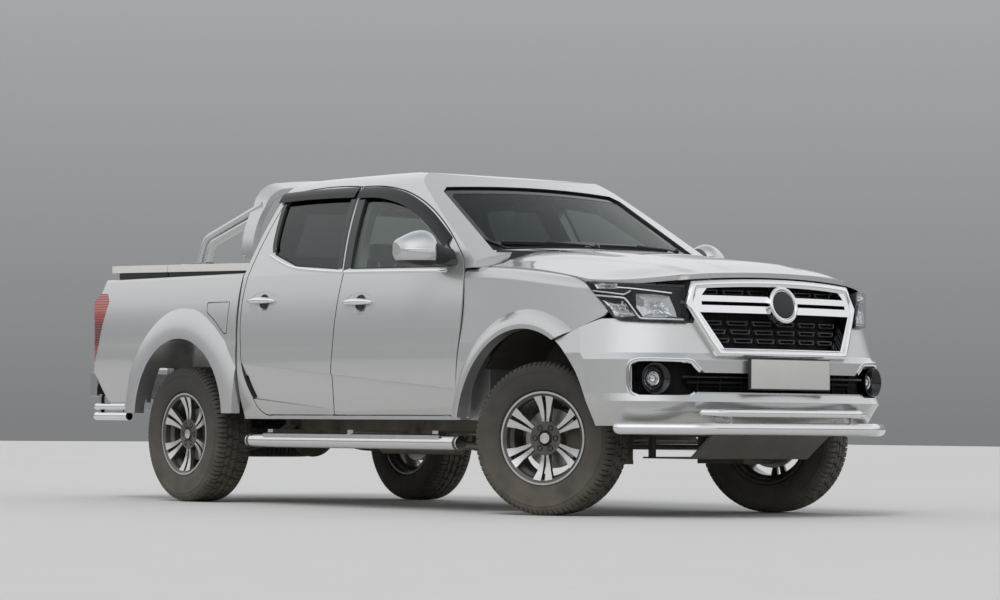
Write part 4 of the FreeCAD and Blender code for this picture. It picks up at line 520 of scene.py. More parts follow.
def shell(outer, inner, round_rows=False):
    """A closed panel between two grids of points with the same rows and columns."""
    rows = len(outer)
    columns = len(outer[0])
    points = [point for row in outer for point in row] + [point for row in inner for point in row]
    back = rows * columns
    faces = []
    row_spans = rows if round_rows else rows - 1
    for row in range(row_spans):
        after = (row + 1) % rows
        for column in range(columns - 1):
            a = row * columns + column
            b = after * columns + column
            faces.append((a, a + 1, b + 1, b))
            faces.append((back + a, back + b, back + b + 1, back + a + 1))
        first = row * columns
        second = after * columns
        faces.append((first, second, back + second, back + first))
        first += columns - 1
        second += columns - 1
        faces.append((first, back + first, back + second, second))
    if not round_rows:
        for row, turn in ((0, 1), (rows - 1, -1)):
            for column in range(columns - 1):
                a = row * columns + column
                face = (a, back + a, back + a + 1, a + 1)
                faces.append(face if turn > 0 else tuple(reversed(face)))
    return points, faces


def sweep(path, section, up=Vector((0, 0, 1)), closed=False):
    """A section of (across, up) points along a path; up may be one vector or one for each point."""
    rings = []
    for index, point in enumerate(path):
        before = path[index - 1] if index or closed else point
        after = path[(index + 1) % len(path)] if index < len(path) - 1 or closed else point
        along = (after - before).normalized()
        lift = up[index] if isinstance(up, list) else up
        across = along.cross(lift).normalized()
        over = across.cross(along).normalized()
        rings.append([point + across * a + over * b for a, b in section])
    return loft(rings, closed)


def round_section(radius, sides=12, squash=1.0):
    return [(radius * math.cos(2 * math.pi * k / sides), radius * squash * math.sin(2 * math.pi * k / sides))
            for k in range(sides)]


def turned(profile, centre, axis, segments=48, start=Vector((0, 0, 1))):
    """A closed profile of (along, radius) points turned about an axis."""
    axis = axis.normalized()
    first = (start - axis * start.dot(axis)).normalized()
    second = axis.cross(first)
    rings = []
    for step in range(segments):
        angle = 2 * math.pi * step / segments
        out = first * math.cos(angle) + second * math.sin(angle)
        rings.append([centre + axis * along + out * radius for along, radius in profile])
    return loft(rings, True)


def bar(low, high, radius):
    """A box with rounded long edges and ends, between two corners."""
    lo = Vector(low)
    hi = Vector(high)
    rings = []
    for x, shrink in ((lo.x, radius), (lo.x + radius * 0.3, radius * 0.3), (lo.x + radius, 0.0),
                      (hi.x - radius, 0.0), (hi.x - radius * 0.3, radius * 0.3), (hi.x, radius)):
        y0, y1, z0, z1 = lo.y + shrink, hi.y - shrink, lo.z + shrink, hi.z - shrink
        r = radius
        rings.append([Vector((x, y, z)) for y, z in (
            (y0 + r, z0), (y1 - r, z0), (y1 - r * 0.3, z0 + r * 0.3), (y1, z0 + r), (y1, z1 - r),
            (y1 - r * 0.3, z1 - r * 0.3), (y1 - r, z1), (y0 + r, z1), (y0 + r * 0.3, z1 - r * 0.3),
            (y0, z1 - r), (y0, z0 + r), (y0 + r * 0.3, z0 + r * 0.3))])
    return loft(rings)


def circle_through(a, b, c):
    """Centre and radius of the circle through three points of a drawing."""
    d = 2 * (a[0] * (b[1] - c[1]) + b[0] * (c[1] - a[1]) + c[0] * (a[1] - b[1]))
    aa = a[0] ** 2 + a[1] ** 2
    bb = b[0] ** 2 + b[1] ** 2
    cc = c[0] ** 2 + c[1] ** 2
    u = (aa * (b[1] - c[1]) + bb * (c[1] - a[1]) + cc * (a[1] - b[1])) / d
    v = (aa * (c[0] - b[0]) + bb * (a[0] - c[0]) + cc * (b[0] - a[0])) / d
    return u, v, math.hypot(a[0] - u, a[1] - v)


def arc(a, b, c, steps):
    """Points after a, along the arc through b to c."""
    u, v, radius = circle_through(a, b, c)
    angle_a = math.atan2(a[1] - v, a[0] - u)
    angle_b = math.atan2(b[1] - v, b[0] - u)
    angle_c = math.atan2(c[1] - v, c[0] - u)
    full = 2 * math.pi
    sweep_b = (angle_b - angle_a) % full
    sweep_c = (angle_c - angle_a) % full
    if sweep_b > sweep_c:
        sweep_c -= full
    return [(u + radius * math.cos(angle_a + sweep_c * k / steps),
             v + radius * math.sin(angle_a + sweep_c * k / steps))
            for k in range(1, steps + 1)]


def trace(items, arc_steps=10, step=0.06):
    """A drawing of lines and (middle, end) arcs as points, close enough together to follow a curved skin."""
    points = [items[0]]
    for item in items[1:] + [items[0]]:
        if isinstance(item[0], tuple):
            points.extend(arc(points[-1], item[0], item[1], arc_steps))
            continue
        here = points[-1]
        parts = max(1, int(math.dist(here, item) / step))
        for k in range(1, parts + 1):
            points.append((here[0] + (item[0] - here[0]) * k / parts,
                           here[1] + (item[1] - here[1]) * k / parts))
    return points[:-1]


def inset(points, distance):
    """A closed outline moved inwards by a distance, point for point."""
    area = sum(p[0] * q[1] - q[0] * p[1] for p, q in zip(points, points[1:] + points[:1]))
    turn = 1.0 if area > 0 else -1.0
    moved = []
    for index, point in enumerate(points):
        before = Vector(points[index - 1])
        after = Vector(points[(index + 1) % len(points)])
        here = Vector(point)
        first = (here - before).normalized()
        second = (after - here).normalized()
        normal = (Vector((-first.y, first.x)) + Vector((-second.y, second.x))) * turn
        length = max(normal.length, 0.7)
        moved.append(tuple(here + normal * (distance * 2.0 / length / length)))
    return moved


# The truck's surfaces

SIDE_ARCS = (
    ((0.836, 0.485), (0.882, 0.660), (0.892, 0.860)),
    ((0.892, 0.860), (0.883, 1.075), (0.853, 1.256)),
    ((0.853, 1.256), (0.765, 1.500), (0.655, 1.722)),
    ((0.655, 1.722), (0.590, 1.772), (0.470, 1.796)),
)


def side_point(x, z, out=0.0):
    """A point on the right side of the cab at a height, moved out from the skin."""
    for section in SIDE_ARCS:
        if z <= section[2][1] or section is SIDE_ARCS[-1]:
            break
    u, v, radius = circle_through(*section)
    reach = math.sqrt(max(radius * radius - (z - v) ** 2, 0.0))
    direction = Vector((0.0, reach, z - v)) / radius
    width = u + reach
    return Vector((x, -(width + direction.y * out), z + direction.z * out))


skins = {}


def cast(node_name, origin, direction):
    """Where a ray meets a CAD node: (point, normal), or None."""
    if node_name not in skins:
        mesh = NODES[node_name].data
        skins[node_name] = BVHTree.FromPolygons([v.co for v in mesh.vertices],
                                                [p.vertices for p in mesh.polygons])
    hit = skins[node_name].ray_cast(Vector(origin), Vector(direction).normalized())
    if hit[0] is None:
        return None
    normal = hit[1] if hit[1].dot(Vector(direction)) < 0 else -hit[1]
    return hit[0], normal


# Tyres with a cut all-terrain tread

TREAD_PITCHES = 42
TYRE_PROFILE = [
    (-0.0956, 0.2163), (-0.0956, 0.234), (-0.104, 0.237), (-0.111, 0.243), (-0.1125, 0.251),
    (-0.1145, 0.254),
    (-0.1205, 0.285), (-0.1222, 0.308), (-0.1205, 0.332), (-0.1212, 0.334), (-0.1206, 0.338),
    (-0.1185, 0.339),
    (-0.1155, 0.352), (-0.108, 0.362), (-0.097, 0.367), (-0.085, 0.3695), (-0.045, 0.371), (0.0, 0.3715),
]
TREAD_BLOCKS = [
    [(0.06, -0.016), (0.52, -0.019), (0.60, -0.010), (0.94, -0.014), (0.90, 0.016), (0.44, 0.019),
     (0.36, 0.010),
     (0.02, 0.014)],
    [(0.10, 0.026), (0.55, 0.024), (0.62, 0.032), (0.88, 0.030), (0.82, 0.054), (0.30, 0.056), (0.22, 0.047),
     (0.04, 0.049)],
]
SHOULDER_LUGS = [(0.05, 0.48), (0.58, 0.93)]
SHOULDER_LINE = [(0.062, 0.3805), (0.088, 0.3795), (0.101, 0.3745), (0.1105, 0.364), (0.1175, 0.350),
                 (0.1195, 0.341)]


def tread_radius(y):
    return 0.3818 - 0.0016 * (y / 0.0885) ** 2


def wheel_point(u, y, radius):
    """A point of the tyre in the wheel's own frame; u counts tread pitches round it."""
    angle = u * 2 * math.pi / TREAD_PITCHES
    return Vector((radius * math.sin(angle), y, radius * math.cos(angle)))


def tread_block(corners, pitch, side, shift):
    """A tread block with sloped walls."""
    mid_u = sum(c[0] for c in corners) / len(corners)
    mid_y = sum(c[1] for c in corners) / len(corners)
    rings = []
    for grow, drop in ((1.10, 0.0105), (1.0, 0.0012), (0.95, 0.0)):
        ring = []
        for u, y in corners:
            wide_u = mid_u + (u - mid_u) * grow
            wide_y = mid_y + (y - mid_y) * grow
            ring.append(wheel_point(pitch + shift + wide_u, side * wide_y, tread_radius(wide_y) - drop))
        rings.append(ring)
    return loft(rings)


def shoulder_lug(pitch, side, shift, low, high):
    """A lug that runs over the tyre's shoulder onto the sidewall."""
    outer = []
    inner = []
    last = len(SHOULDER_LINE) - 1
    for index, (y, radius) in enumerate(SHOULDER_LINE):
        narrow = 0.05 * index / last
        places = (low + narrow - 0.03, low + narrow, (low + high) / 2, high - narrow, high - narrow + 0.03)
        drops = (0.008, 0.0, 0.0, 0.0, 0.008)
        sink = 0.004 if index == last else 0.0
        outer.append([wheel_point(pitch + shift + u, side * (y - sink),
                                  radius - drop * (1 - index / last) - sink)
                      for u, drop in zip(places, drops)])
        inner.append([wheel_point(pitch + shift + u, side * (y - 0.012), radius - 0.012) for u in places])
    return shell(outer, inner)


def tyre_shape():
    """Carcass, centre and inner blocks, and shoulder lugs, round the wheel's own Y axis."""
    half = TYRE_PROFILE
    profile = half + [(-y, r) for y, r in reversed(half[:-1])]
    profile += [(0.068, 0.2163), (0.082, 0.240), (0.108, 0.300), (0.088, 0.352), (0.0, 0.360),
                (-0.088, 0.352),
                (-0.108, 0.300), (-0.082, 0.240), (-0.068, 0.2163)]
    shapes = [turned(profile, Vector((0, 0, 0)), Vector((0, 1, 0)), 84)]
    for pitch in range(TREAD_PITCHES):
        shapes.append(tread_block(TREAD_BLOCKS[0], pitch, 1, 0.0))
        for side, shift in ((1, 0.25), (-1, 0.75)):
            shapes.append(tread_block(TREAD_BLOCKS[1], pitch, side, shift))
            for low, high in SHOULDER_LUGS:
                shapes.append(shoulder_lug(pitch, side, shift + 0.1, low, high))
    return joined(shapes)


def moved(shape, matrix):
    points, faces = shape
    return [matrix @ Vector(point) for point in points], faces


TYRE = tyre_shape()
for side, sign in SIDES:
    for axle in ("front", "rear"):
        centre, axis = wheel_place(side, axle)
        turn = Vector((0, -1, 0)).rotation_difference(axis).to_matrix().to_4x4()
        place = Matrix.Translation(centre) @ turn
        piece("tyre_tread_" + axle + "_" + side, moved(TYRE, place), tyre_rubber,
              "wheel_" + axle + "_" + side, "tyre",
              replaces=("tyre_" + axle + "_" + side,), smooth=28.0)

SPARE_CENTRE = Vector((-2.110, 0.0, 0.372))
spare_place = Matrix.Translation(SPARE_CENTRE) @ Matrix.Rotation(math.radians(90), 4, "X")
piece("spare_tyre", moved(TYRE, spare_place), tyre_rubber, "truck", "tyre", replaces=("spare_wheel",),
      smooth=28.0)
SPARE_RIM_PROFILE = [
    (-0.104, 0.222), (-0.104, 0.232), (-0.096, 0.232), (-0.096, 0.217), (-0.066, 0.215), (-0.050, 0.199),
    (0.050, 0.199),
    (0.066, 0.215), (0.096, 0.217), (0.096, 0.232), (0.104, 0.232), (0.104, 0.222), (0.092, 0.206),
    (0.062, 0.204),
    (0.046, 0.190), (-0.018, 0.190), (-0.020, 0.120), (-0.040, 0.090), (-0.040, 0.030), (-0.034, 0.030),
    (-0.034, 0.084), (-0.012, 0.116), (-0.010, 0.182), (-0.046, 0.190), (-0.062, 0.204), (-0.092, 0.206),
]
piece("spare_rim", moved(turned(SPARE_RIM_PROFILE, Vector((0, 0, 0)), Vector((0, 1, 0)), 64), spare_place),
      frame_black, "truck", "frame_black")

# Glass edges: windscreen and rear window borders, cowl and wipers

WINDSCREEN = [(-0.700, 1.340), (-0.606, 1.672), (-0.560, 1.700), ((0.0, 1.716), (0.560, 1.700)),
              (0.606, 1.672),
              (0.700, 1.340), ((0.0, 1.366), (-0.700, 1.340))]
BACKLIGHT = [(-0.600, 1.352), (-0.560, 1.640), ((0.0, 1.660), (0.560, 1.640)), (0.600, 1.352)]


def glass_border(name, drawing, width, start_x, way):
    """A black printed band round the edge of a screen, laid on the glass."""
    outer = inset(trace(drawing, 14), 0.001)
    loops = [outer, inset(outer, width * 0.5), inset(outer, width)]
    top = []
    under = []
    for index in range(len(outer)):
        row = []
        for loop in loops:
            y, z = loop[index]
            hit = cast("cab_glass", (start_x, y, z), (way, 0, 0))
            row.append(hit)
        if all(row):
            top.append([point + normal * 0.0008 for point, normal in row])
            under.append([point + normal * 0.0002 for point, normal in row])
    piece(name, shell(top, under, True), gloss_black, "truck", "black_trim")
    bead = []
    for y, z in inset(trace(drawing, 14), 0.004):
        hit = cast("cab_glass", (start_x, y, z), (way, 0, 0))
        if hit:
            bead.append(hit[0] + hit[1] * 0.003)
    piece(name + "_seal", sweep(bead, round_section(0.0055, 8), closed=True), rubber_seal, "truck",
          "black_trim")


glass_border("windscreen_border", WINDSCREEN, 0.038, 2.0, -1.0)
glass_border("rear_window_border", BACKLIGHT, 0.030, -2.0, 1.0)


def hood_rear_x(y):
    u, v, radius = circle_through((1.192, -0.755), (1.262, 0.0), (1.192, 0.755))
    return u + math.sqrt(radius * radius - (y - v) ** 2)


def cowl_panel():
    """The louvred strip between the hood's rear edge and the foot of the windscreen."""
    outer = []
    inner = []
    for step in range(33):
        y = -0.69 + 1.38 * step / 32
        foot = cast("cab_shell", (2.0, y, 1.335), (-1, 0, 0)) or (Vector((1.19, y, 1.335)),
                                                                  Vector((1, 0, 0)))
        head_x = foot[0].x
        low_x = hood_rear_x(y) - 0.022
        row = []
        for k in range(7):
            t = k / 6
            ridge = 0.002 if k % 2 else 0.0
            row.append(Vector((low_x + (head_x + 0.004 - low_x) * t, y, 1.244 + 0.098 * t + ridge)))
        outer.append(row)
        inner.append([point - Vector((0.004, 0, 0.002)) for point in row])
    return shell(outer, inner)


piece("cowl_panel", cowl_panel(), black_plastic, "truck", "black_trim")


def wiper(pivot_y, tip_y, lift):
    """Arm, blade and rubber resting across the foot of the windscreen."""
    def on_glass(y, z, out):
        hit = cast("cab_glass", (2.0, y, z), (-1, 0, 0))
        return hit[0] + hit[1] * out
    steps = 12
    blade = []
    squeegee = []
    for k in range(steps + 1):
        t = k / steps
        y = tip_y + (pivot_y + (tip_y - pivot_y) * 0.12 - tip_y) * t
        z = 1.375 + lift * (1 - t)
        blade.append(on_glass(y, z, 0.012 + 0.004 * math.sin(math.pi * t)))
        squeegee.append(on_glass(y, z, 0.006))
    arm = [on_glass(pivot_y, 1.370, 0.010), on_glass(pivot_y + (tip_y - pivot_y) * 0.12, 1.372, 0.016),
           on_glass(pivot_y + (tip_y - pivot_y) * 0.55, 1.376 + lift * 0.5, 0.021)]
    hub = turned([(-0.012, 0.001), (-0.012, 0.014), (0.010, 0.012), (0.014, 0.006), (0.014, 0.001)], arm[0],
                 Vector((0.5, 0, 0.86)), 16)
    flat = [(-0.006, -0.003), (0.006, -0.003), (0.006, 0.002), (0.002, 0.004), (-0.002, 0.004),
            (-0.006, 0.002)]
    return joined([sweep(blade, flat), sweep(squeegee,
                                             [(-0.002, -0.005), (0.002, -0.005), (0.002, 0.006),
                                              (-0.002, 0.006)]),
                   sweep(arm, flat), hub])


piece("wiper_driver", wiper(0.56, -0.02, 0.004), black_plastic, "truck", "black_trim")
piece("wiper_passenger", wiper(-0.06, -0.60, 0.006), black_plastic, "truck", "black_trim")

# Door trim: seals, belt strips, deflectors, pillar panels, handles

FRONT_WINDOW = [(0.092, 1.270), (0.920, 1.254), (0.985, 1.262), (1.012, 1.292),
                ((0.690, 1.518), (0.380, 1.636)),
                ((0.190, 1.676), (-0.004, 1.688))]
REAR_WINDOW = [(-0.024, 1.272), (-0.430, 1.300), (-0.668, 1.372), (-0.690, 1.412), (-0.740, 1.632),
               ((-0.740, 1.672), (-0.706, 1.688)), ((-0.420, 1.704), (-0.128, 1.690))]
BELT_FRONT = [(0.040, 1.2565), (0.30, 1.2505), (0.62, 1.2435), (0.950, 1.2365)]
BELT_REAR = [(-0.711, 1.370), (-0.60, 1.333), (-0.445, 1.294), (-0.21, 1.272), (0.026, 1.2575)]
VISOR_FRONT = [(-0.058, 1.722), (0.16, 1.712), (0.374, 1.671), (0.54, 1.615), (0.673, 1.557), (0.80, 1.488),
               (0.926, 1.412)]
VISOR_REAR = [(-0.833, 1.654), (-0.828, 1.700), (-0.812, 1.726), (-0.60, 1.731), (-0.35, 1.730),
              (-0.089, 1.725)]
PILLAR_FRONT = [((-0.066, 1.700), (-0.010, 1.690)), ((-0.036, 1.55), (0.024, 1.55)),
                ((-0.006, 1.42), (0.054, 1.42)),
                ((0.028, 1.275), (0.086, 1.275))]
PILLAR_REAR = [((-0.124, 1.692), (-0.080, 1.702)), ((-0.092, 1.55), (-0.050, 1.55)),
               ((-0.062, 1.42), (-0.020, 1.42)),
               ((-0.030, 1.277), (0.016, 1.275))]
BEAD = round_section(0.0065, 8)


def finer(points, parts=6):
    """Points of a drawn line with more between them, on a smooth curve."""
    curve = []
    last = len(points) - 1
    for index in range(last):
        p0 = Vector(points[max(index - 1, 0)])
        p1 = Vector(points[index])
        p2 = Vector(points[index + 1])
        p3 = Vector(points[min(index + 2, last)])
        for k in range(parts):
            t = k / parts
            curve.append(0.5 * (2 * p1 + (p2 - p0) * t + (2 * p0 - 5 * p1 + 4 * p2 - p3) * t * t
                                + (3 * p1 - p0 - 3 * p2 + p3) * t ** 3))
    curve.append(Vector(points[last]))
    return curve


def side_normal(x, z):
    return (side_point(x, z, 0.01) - side_point(x, z, 0.0)).normalized()


def belt_strip(line):
    """A half-round bright strip lying on the door's skin."""
    path = []
    lifts = []
    for x, z in finer(line):
        path.append(side_point(x, z, 0.0))
        lifts.append(side_normal(x, z))
    section = [(-0.009, -0.001), (0.009, -0.001), (0.009, 0.002), (0.006, 0.0045), (0.0, 0.0055),
               (-0.006, 0.0045),
               (-0.009, 0.002)]
    return sweep(path, section, lifts)


def window_seal(drawing):
    loop = trace(drawing, 8)
    bead = [side_point(x, z, -0.008) for x, z in inset(loop, 0.003)]
    return sweep(bead, BEAD, [side_normal(x, z) for x, z in loop], closed=True)


def visor(line, drop):
    """A smoked rain deflector: its top edge on the door frame, standing off the glass below."""
    outer = []
    inner = []
    fine = finer(line, 5)
    for index, here in enumerate(fine):
        before = fine[max(index - 1, 0)]
        after = fine[min(index + 1, len(fine) - 1)]
        along = (after - before).normalized()
        down = Vector((along.y, -along.x)) if along.x > 0 else Vector((-along.y, along.x))
        if down.y > 0 and abs(along.x) > 0.3:
            down = -down
        row = []
        back = []
        for t, out in ((0.0, 0.0015), (0.25, 0.009), (0.65, 0.0125), (1.0, 0.013)):
            x, z = here + down * drop * t
            row.append(side_point(x, z, out))
            back.append(side_point(x, z, out - 0.0025))
        outer.append(row)
        inner.append(back)
    return shell(outer, inner)


def pillar_panel(rows):
    outer = []
    inner = []
    for index in range(len(rows) - 1):
        for k in range(5 if index == len(rows) - 2 else 4):
            t = k / 4
            line_out = []
            line_in = []
            for across in (0.0, 0.12, 0.5, 0.88, 1.0):
                left = Vector(rows[index][0]).lerp(Vector(rows[index + 1][0]), t)
                right = Vector(rows[index][1]).lerp(Vector(rows[index + 1][1]), t)
                x, z = left.lerp(right, across)
                out = 0.0025 if 0.05 < across < 0.95 else 0.001
                line_out.append(side_point(x, z, out))
                line_in.append(side_point(x, z, -0.001))
            outer.append(line_out)
            inner.append(line_in)
    return shell(outer, inner)


HANDLE_SECTION_STEPS = 14


def door_handle(x_rear, x_front, z):
    """A bright pull handle bridging the dish: slim and pointed behind, fuller at its front."""
    rings = []
    for k in range(HANDLE_SECTION_STEPS + 1):
        t = k / HANDLE_SECTION_STEPS
        x = x_rear + (x_front - x_rear) * t
        bulge = math.sin(math.pi * min(max(t, 0.0), 1.0)) ** 0.45 if 0 < t < 1 else 0.0
        height = 0.0045 + 0.0145 * bulge * (0.62 + 0.38 * t)
        stand = 0.002 + 0.030 * math.sin(math.pi * t) ** 0.6 if 0 < t < 1 else 0.002
        thick = 0.004 + 0.007 * bulge
        ring = []
        for a, b in round_section(1.0, 14):
            ring.append(side_point(x, z + a * height, stand + b * thick))
        rings.append(ring)
    feet = []
    for x in (x_rear + 0.012, x_front - 0.016):
        feet.append(loft([[side_point(x + a * 0.010, z + b * 0.010, out) for a, b in round_section(1.0, 12)]
                          for out in (-0.004, 0.010)]))
    return joined([loft(rings)] + feet)


def dish_shade_disc(x, z, radius):
    """A dark round disc in the finger space behind the handle: painted shade of the recess."""
    profile = [(-0.002, 0.001), (-0.002, radius), (0.0010, radius + 0.001), (0.0016, radius - 0.002),
               (0.0008, radius - 0.006), (0.0004, 0.001)]
    return turned(profile, side_point(x, z, 0.0), side_normal(x, z), 36)


for side, sign in SIDES:
    front = "door_front_" + side
    rear = "door_rear_" + side
    side_piece("window_seal_front", side, window_seal(FRONT_WINDOW), rubber_seal, front, "black_trim")
    side_piece("window_seal_rear", side, window_seal(REAR_WINDOW), rubber_seal, rear, "black_trim")
    side_piece("belt_strip_front", side, belt_strip(BELT_FRONT), chrome, front, "chrome")
    side_piece("belt_strip_rear", side, belt_strip(BELT_REAR), chrome, rear, "chrome")
    side_piece("visor_front", side, visor(VISOR_FRONT, 0.064), smoked_visor, front, "black_trim")
    side_piece("visor_rear", side, visor(VISOR_REAR[2:], 0.062), smoked_visor, rear, "black_trim")
    side_piece("pillar_panel_front", side, pillar_panel(PILLAR_FRONT), gloss_black, front, "black_trim")
    side_piece("pillar_panel_rear", side, pillar_panel(PILLAR_REAR), gloss_black, rear, "black_trim")
    side_piece("handle_front", side, door_handle(0.074, 0.334, 1.088), chrome, front, "chrome")
    side_piece("handle_rear", side, door_handle(-0.834, -0.578, 1.116), chrome, rear, "chrome")

# Headlamps: lens, bezel, lit strip, bright blades and two reflectors, in place of the plain lamp bodies

LAMP_PLAN = ((2.060, -0.884), (2.300, -0.806), (2.500, -0.540))
LAMP_COLUMNS = 44
lamp_u, lamp_v, lamp_radius = circle_through(*LAMP_PLAN)
lamp_start = math.atan2(LAMP_PLAN[0][1] - lamp_v, LAMP_PLAN[0][0] - lamp_u)
lamp_end = math.atan2(LAMP_PLAN[2][1] - lamp_v, LAMP_PLAN[2][0] - lamp_u)


def lamp_point(t, z, depth=0.0):
    """A point on the right headlamp: t along its face from wing to grille, z up, depth inwards."""
    angle = lamp_start + (lamp_end - lamp_start) * t
    reach = lamp_radius - depth
    return Vector((lamp_u + reach * math.cos(angle), lamp_v + reach * math.sin(angle), z))


def lamp_span(t):
    """Lowest and highest point of the lamp's face at a place along it."""
    angle = lamp_start + (lamp_end - lamp_start) * t
    outward = Vector((math.cos(angle), math.sin(angle), 0.0))
    found = []
    for step in range(130):
        z = 0.925 + step * 0.002
        hit = cast("front_lamps", lamp_point(t, z) + outward * 0.05, -outward)
        if hit and (hit[0] - lamp_point(t, z)).length < 0.004:
            found.append(z)
    return (min(found), max(found)) if len(found) > 3 else None


lamp_rows = []
for column in range(LAMP_COLUMNS + 1):
    t = 0.03 + 0.97 * column / LAMP_COLUMNS
    span = lamp_span(t)
    if span:
        lamp_rows.append((t, span[0], span[1]))


def lamp_grid(depth_of, steps=14):
    grid = []
    last = len(lamp_rows) - 1
    for index, (t, low, high) in enumerate(lamp_rows):
        row = []
        for k in range(steps + 1):
            v = k / steps
            z = low + (high - low) * v
            along = min(index, last - index) * 0.010
            edge = min(along, (z - low), (high - z))
            row.append(lamp_point(t, z, depth_of(edge)))
        grid.append(row)
    return grid


def lens_shape():
    return shell(lamp_grid(lambda edge: 0.0015 - 0.0012 * min(edge / 0.012, 1.0)),
                 lamp_grid(lambda edge: 0.0045 - 0.0012 * min(edge / 0.012, 1.0)))


def bowl_depth(edge):
    t = min(edge / 0.016, 1.0)
    return 0.006 + 0.044 * t * t * (3 - 2 * t)


def bezel_shape():
    return shell(lamp_grid(bowl_depth), lamp_grid(lambda edge: bowl_depth(edge) + 0.003))


def lamp_blade(points, width, depth):
    """A bright blade following the lamp's face at a depth."""
    path = [lamp_point(t, z, depth) for t, z in finer(points, 4)]
    lifts = [(lamp_point(t, z, 0.0) - lamp_point(t, z, 0.02)).normalized() for t, z in finer(points, 4)]
    section = [(-width / 2, -0.006), (width / 2, -0.006), (width / 2 - 0.001, 0.003), (0.0, 0.0045),
               (-width / 2 + 0.001, 0.003)]
    return sweep(path, section, lifts)


FLUTE_DEPTH = 0.0045


def lamp_bowl(mouth, focus, mouth_depth, deep, rings=7):
    """A faceted reflector whose mouth follows drawn corners and whose wall closes on its bulb."""
    corners = []
    for index, corner in enumerate(mouth):
        after = mouth[(index + 1) % len(mouth)]
        for k in range(5):
            corners.append(Vector(corner).lerp(Vector(after), k / 5))
    grids = []
    for back in (0.0, 0.002):
        grid = []
        for ring in range(rings + 1):
            s = 1.0 - 0.86 * ring / rings
            depth = mouth_depth + deep * (1 - s * s) + back
            row = []
            for index in range(len(corners) + 1):
                t, z = Vector(focus).lerp(corners[index % len(corners)], s)
                flute = FLUTE_DEPTH * (index % 2) * (1 - s) * min(s * 4, 1.0)
                row.append(lamp_point(t, z, depth + flute))
            grid.append(row)
        grids.append(grid)
    return shell(grids[0], grids[1])


def bulb(focus, depth, radius):
    centre = lamp_point(focus[0], focus[1], depth)
    outward = (lamp_point(focus[0], focus[1], 0.0) - centre).normalized()
    profile = [(-0.012, 0.001), (-0.012, radius), (0.010, radius), (0.016, radius * 0.8),
               (0.020, radius * 0.4),
               (0.021, 0.001)]
    return turned(profile, centre, outward, 20)


BIG_MOUTH = [(0.530, 1.086), (0.70, 1.082), (0.812, 1.074), (0.862, 1.010), (0.882, 0.972), (0.72, 0.972),
             (0.592, 0.974),
             (0.535, 1.02)]
SMALL_MOUTH = [(0.212, 1.060), (0.34, 1.054), (0.424, 1.048), (0.490, 1.006), (0.528, 0.978), (0.44, 0.972),
               (0.350, 0.972),
               (0.27, 1.005)]
TURN_MOUTH = [(0.140, 1.132), (0.25, 1.141), (0.365, 1.136), (0.372, 1.110), (0.27, 1.109), (0.170, 1.112)]
BIG_FOCUS = (0.700, 1.026)
SMALL_FOCUS = (0.385, 1.012)
TURN_FOCUS = (0.260, 1.124)
BLADE_UPPER = [(0.124, 1.102), (0.287, 1.092), (0.410, 1.083), (0.440, 1.084), (0.490, 1.100)]
BLADE_LOWER = [(0.149, 1.080), (0.287, 1.073), (0.415, 1.066), (0.450, 1.056), (0.505, 1.016),
               (0.560, 0.974),
               (0.60, 0.966), (0.755, 0.964), (0.935, 0.962)]
LIT_STRIP = [(0.372, 1.117), (0.50, 1.1115), (0.68, 1.100), (0.835, 1.090)]

for side, sign in SIDES:
    side_piece("headlamp_lens", side, lens_shape(), lamp_glass, "truck", "lamp_clear",
          replaces=("front_lamps",) if side == "right" else ())
    side_piece("headlamp_bezel", side, bezel_shape(), lamp_bezel, "truck", "black_trim")
    blades = joined([lamp_blade(BLADE_UPPER, 0.009, 0.014), lamp_blade(BLADE_LOWER, 0.010, 0.012)])
    side_piece("headlamp_blades", side, blades, reflector, "truck", "chrome")
    bowls = joined([lamp_bowl(BIG_MOUTH, BIG_FOCUS, 0.020, 0.026),
                    lamp_bowl(SMALL_MOUTH, SMALL_FOCUS, 0.022, 0.020),
                    lamp_bowl(TURN_MOUTH, TURN_FOCUS, 0.022, 0.012)])
    side_piece("headlamp_reflectors", side, bowls, reflector, "truck", "chrome", smooth=20.0)
    bulbs = joined([bulb(BIG_FOCUS, 0.040, 0.013), bulb(SMALL_FOCUS, 0.040, 0.009)])
    side_piece("headlamp_bulbs", side, bulbs, chrome, "truck", "chrome")
    side_piece("headlamp_strip", side, lamp_blade(LIT_STRIP, 0.006, 0.018), lit_white, "truck",
          "lamp_clear")

# Grille: rows of dark bracket cells behind the bright frame

GRILLE_LEAN = 90.0 / 410.0
GRILLE_R = 2.300


def grille_x(y, z, inset_x):
    return 2.592 - GRILLE_LEAN * (z - 0.790) - (GRILLE_R - math.sqrt(GRILLE_R ** 2 - y * y)) - inset_x


def grille_bracket(y, z, wide, high):
    """One bracket: a thin bevelled frame, narrower below, round a shallow opening."""
    def loop(half_w, half_h, depth):
        corners = [(-half_w, half_h), (half_w, half_h), (half_w - 0.010, -half_h),
                   (-half_w + 0.010, -half_h)]
        return [Vector((grille_x(y + a, z + b, depth), y + a, z + b)) for a, b in corners]
    half_w = wide / 2
    half_h = high / 2
    rings = [loop(half_w, half_h, 0.078), loop(half_w, half_h, 0.058),
             loop(half_w - 0.003, half_h - 0.002, 0.055),
             loop(half_w - 0.007, half_h - 0.005, 0.057), loop(half_w - 0.008, half_h - 0.006, 0.078)]
    return loft(rings, closed=True)


# height of a row's middle, and how far its brackets close up towards the narrow foot of the opening
BRACKET_ROWS = ((0.952, 1.0), (0.909, 0.955), (0.866, 0.910), (1.104, 1.0))
BRACKET_PITCH = 0.154
cells = []
for z, close in BRACKET_ROWS:
    for column in range(6):
        y = (column - 2.5) * BRACKET_PITCH * close
        cells.append(grille_bracket(y, z, 0.130 * close, 0.023))


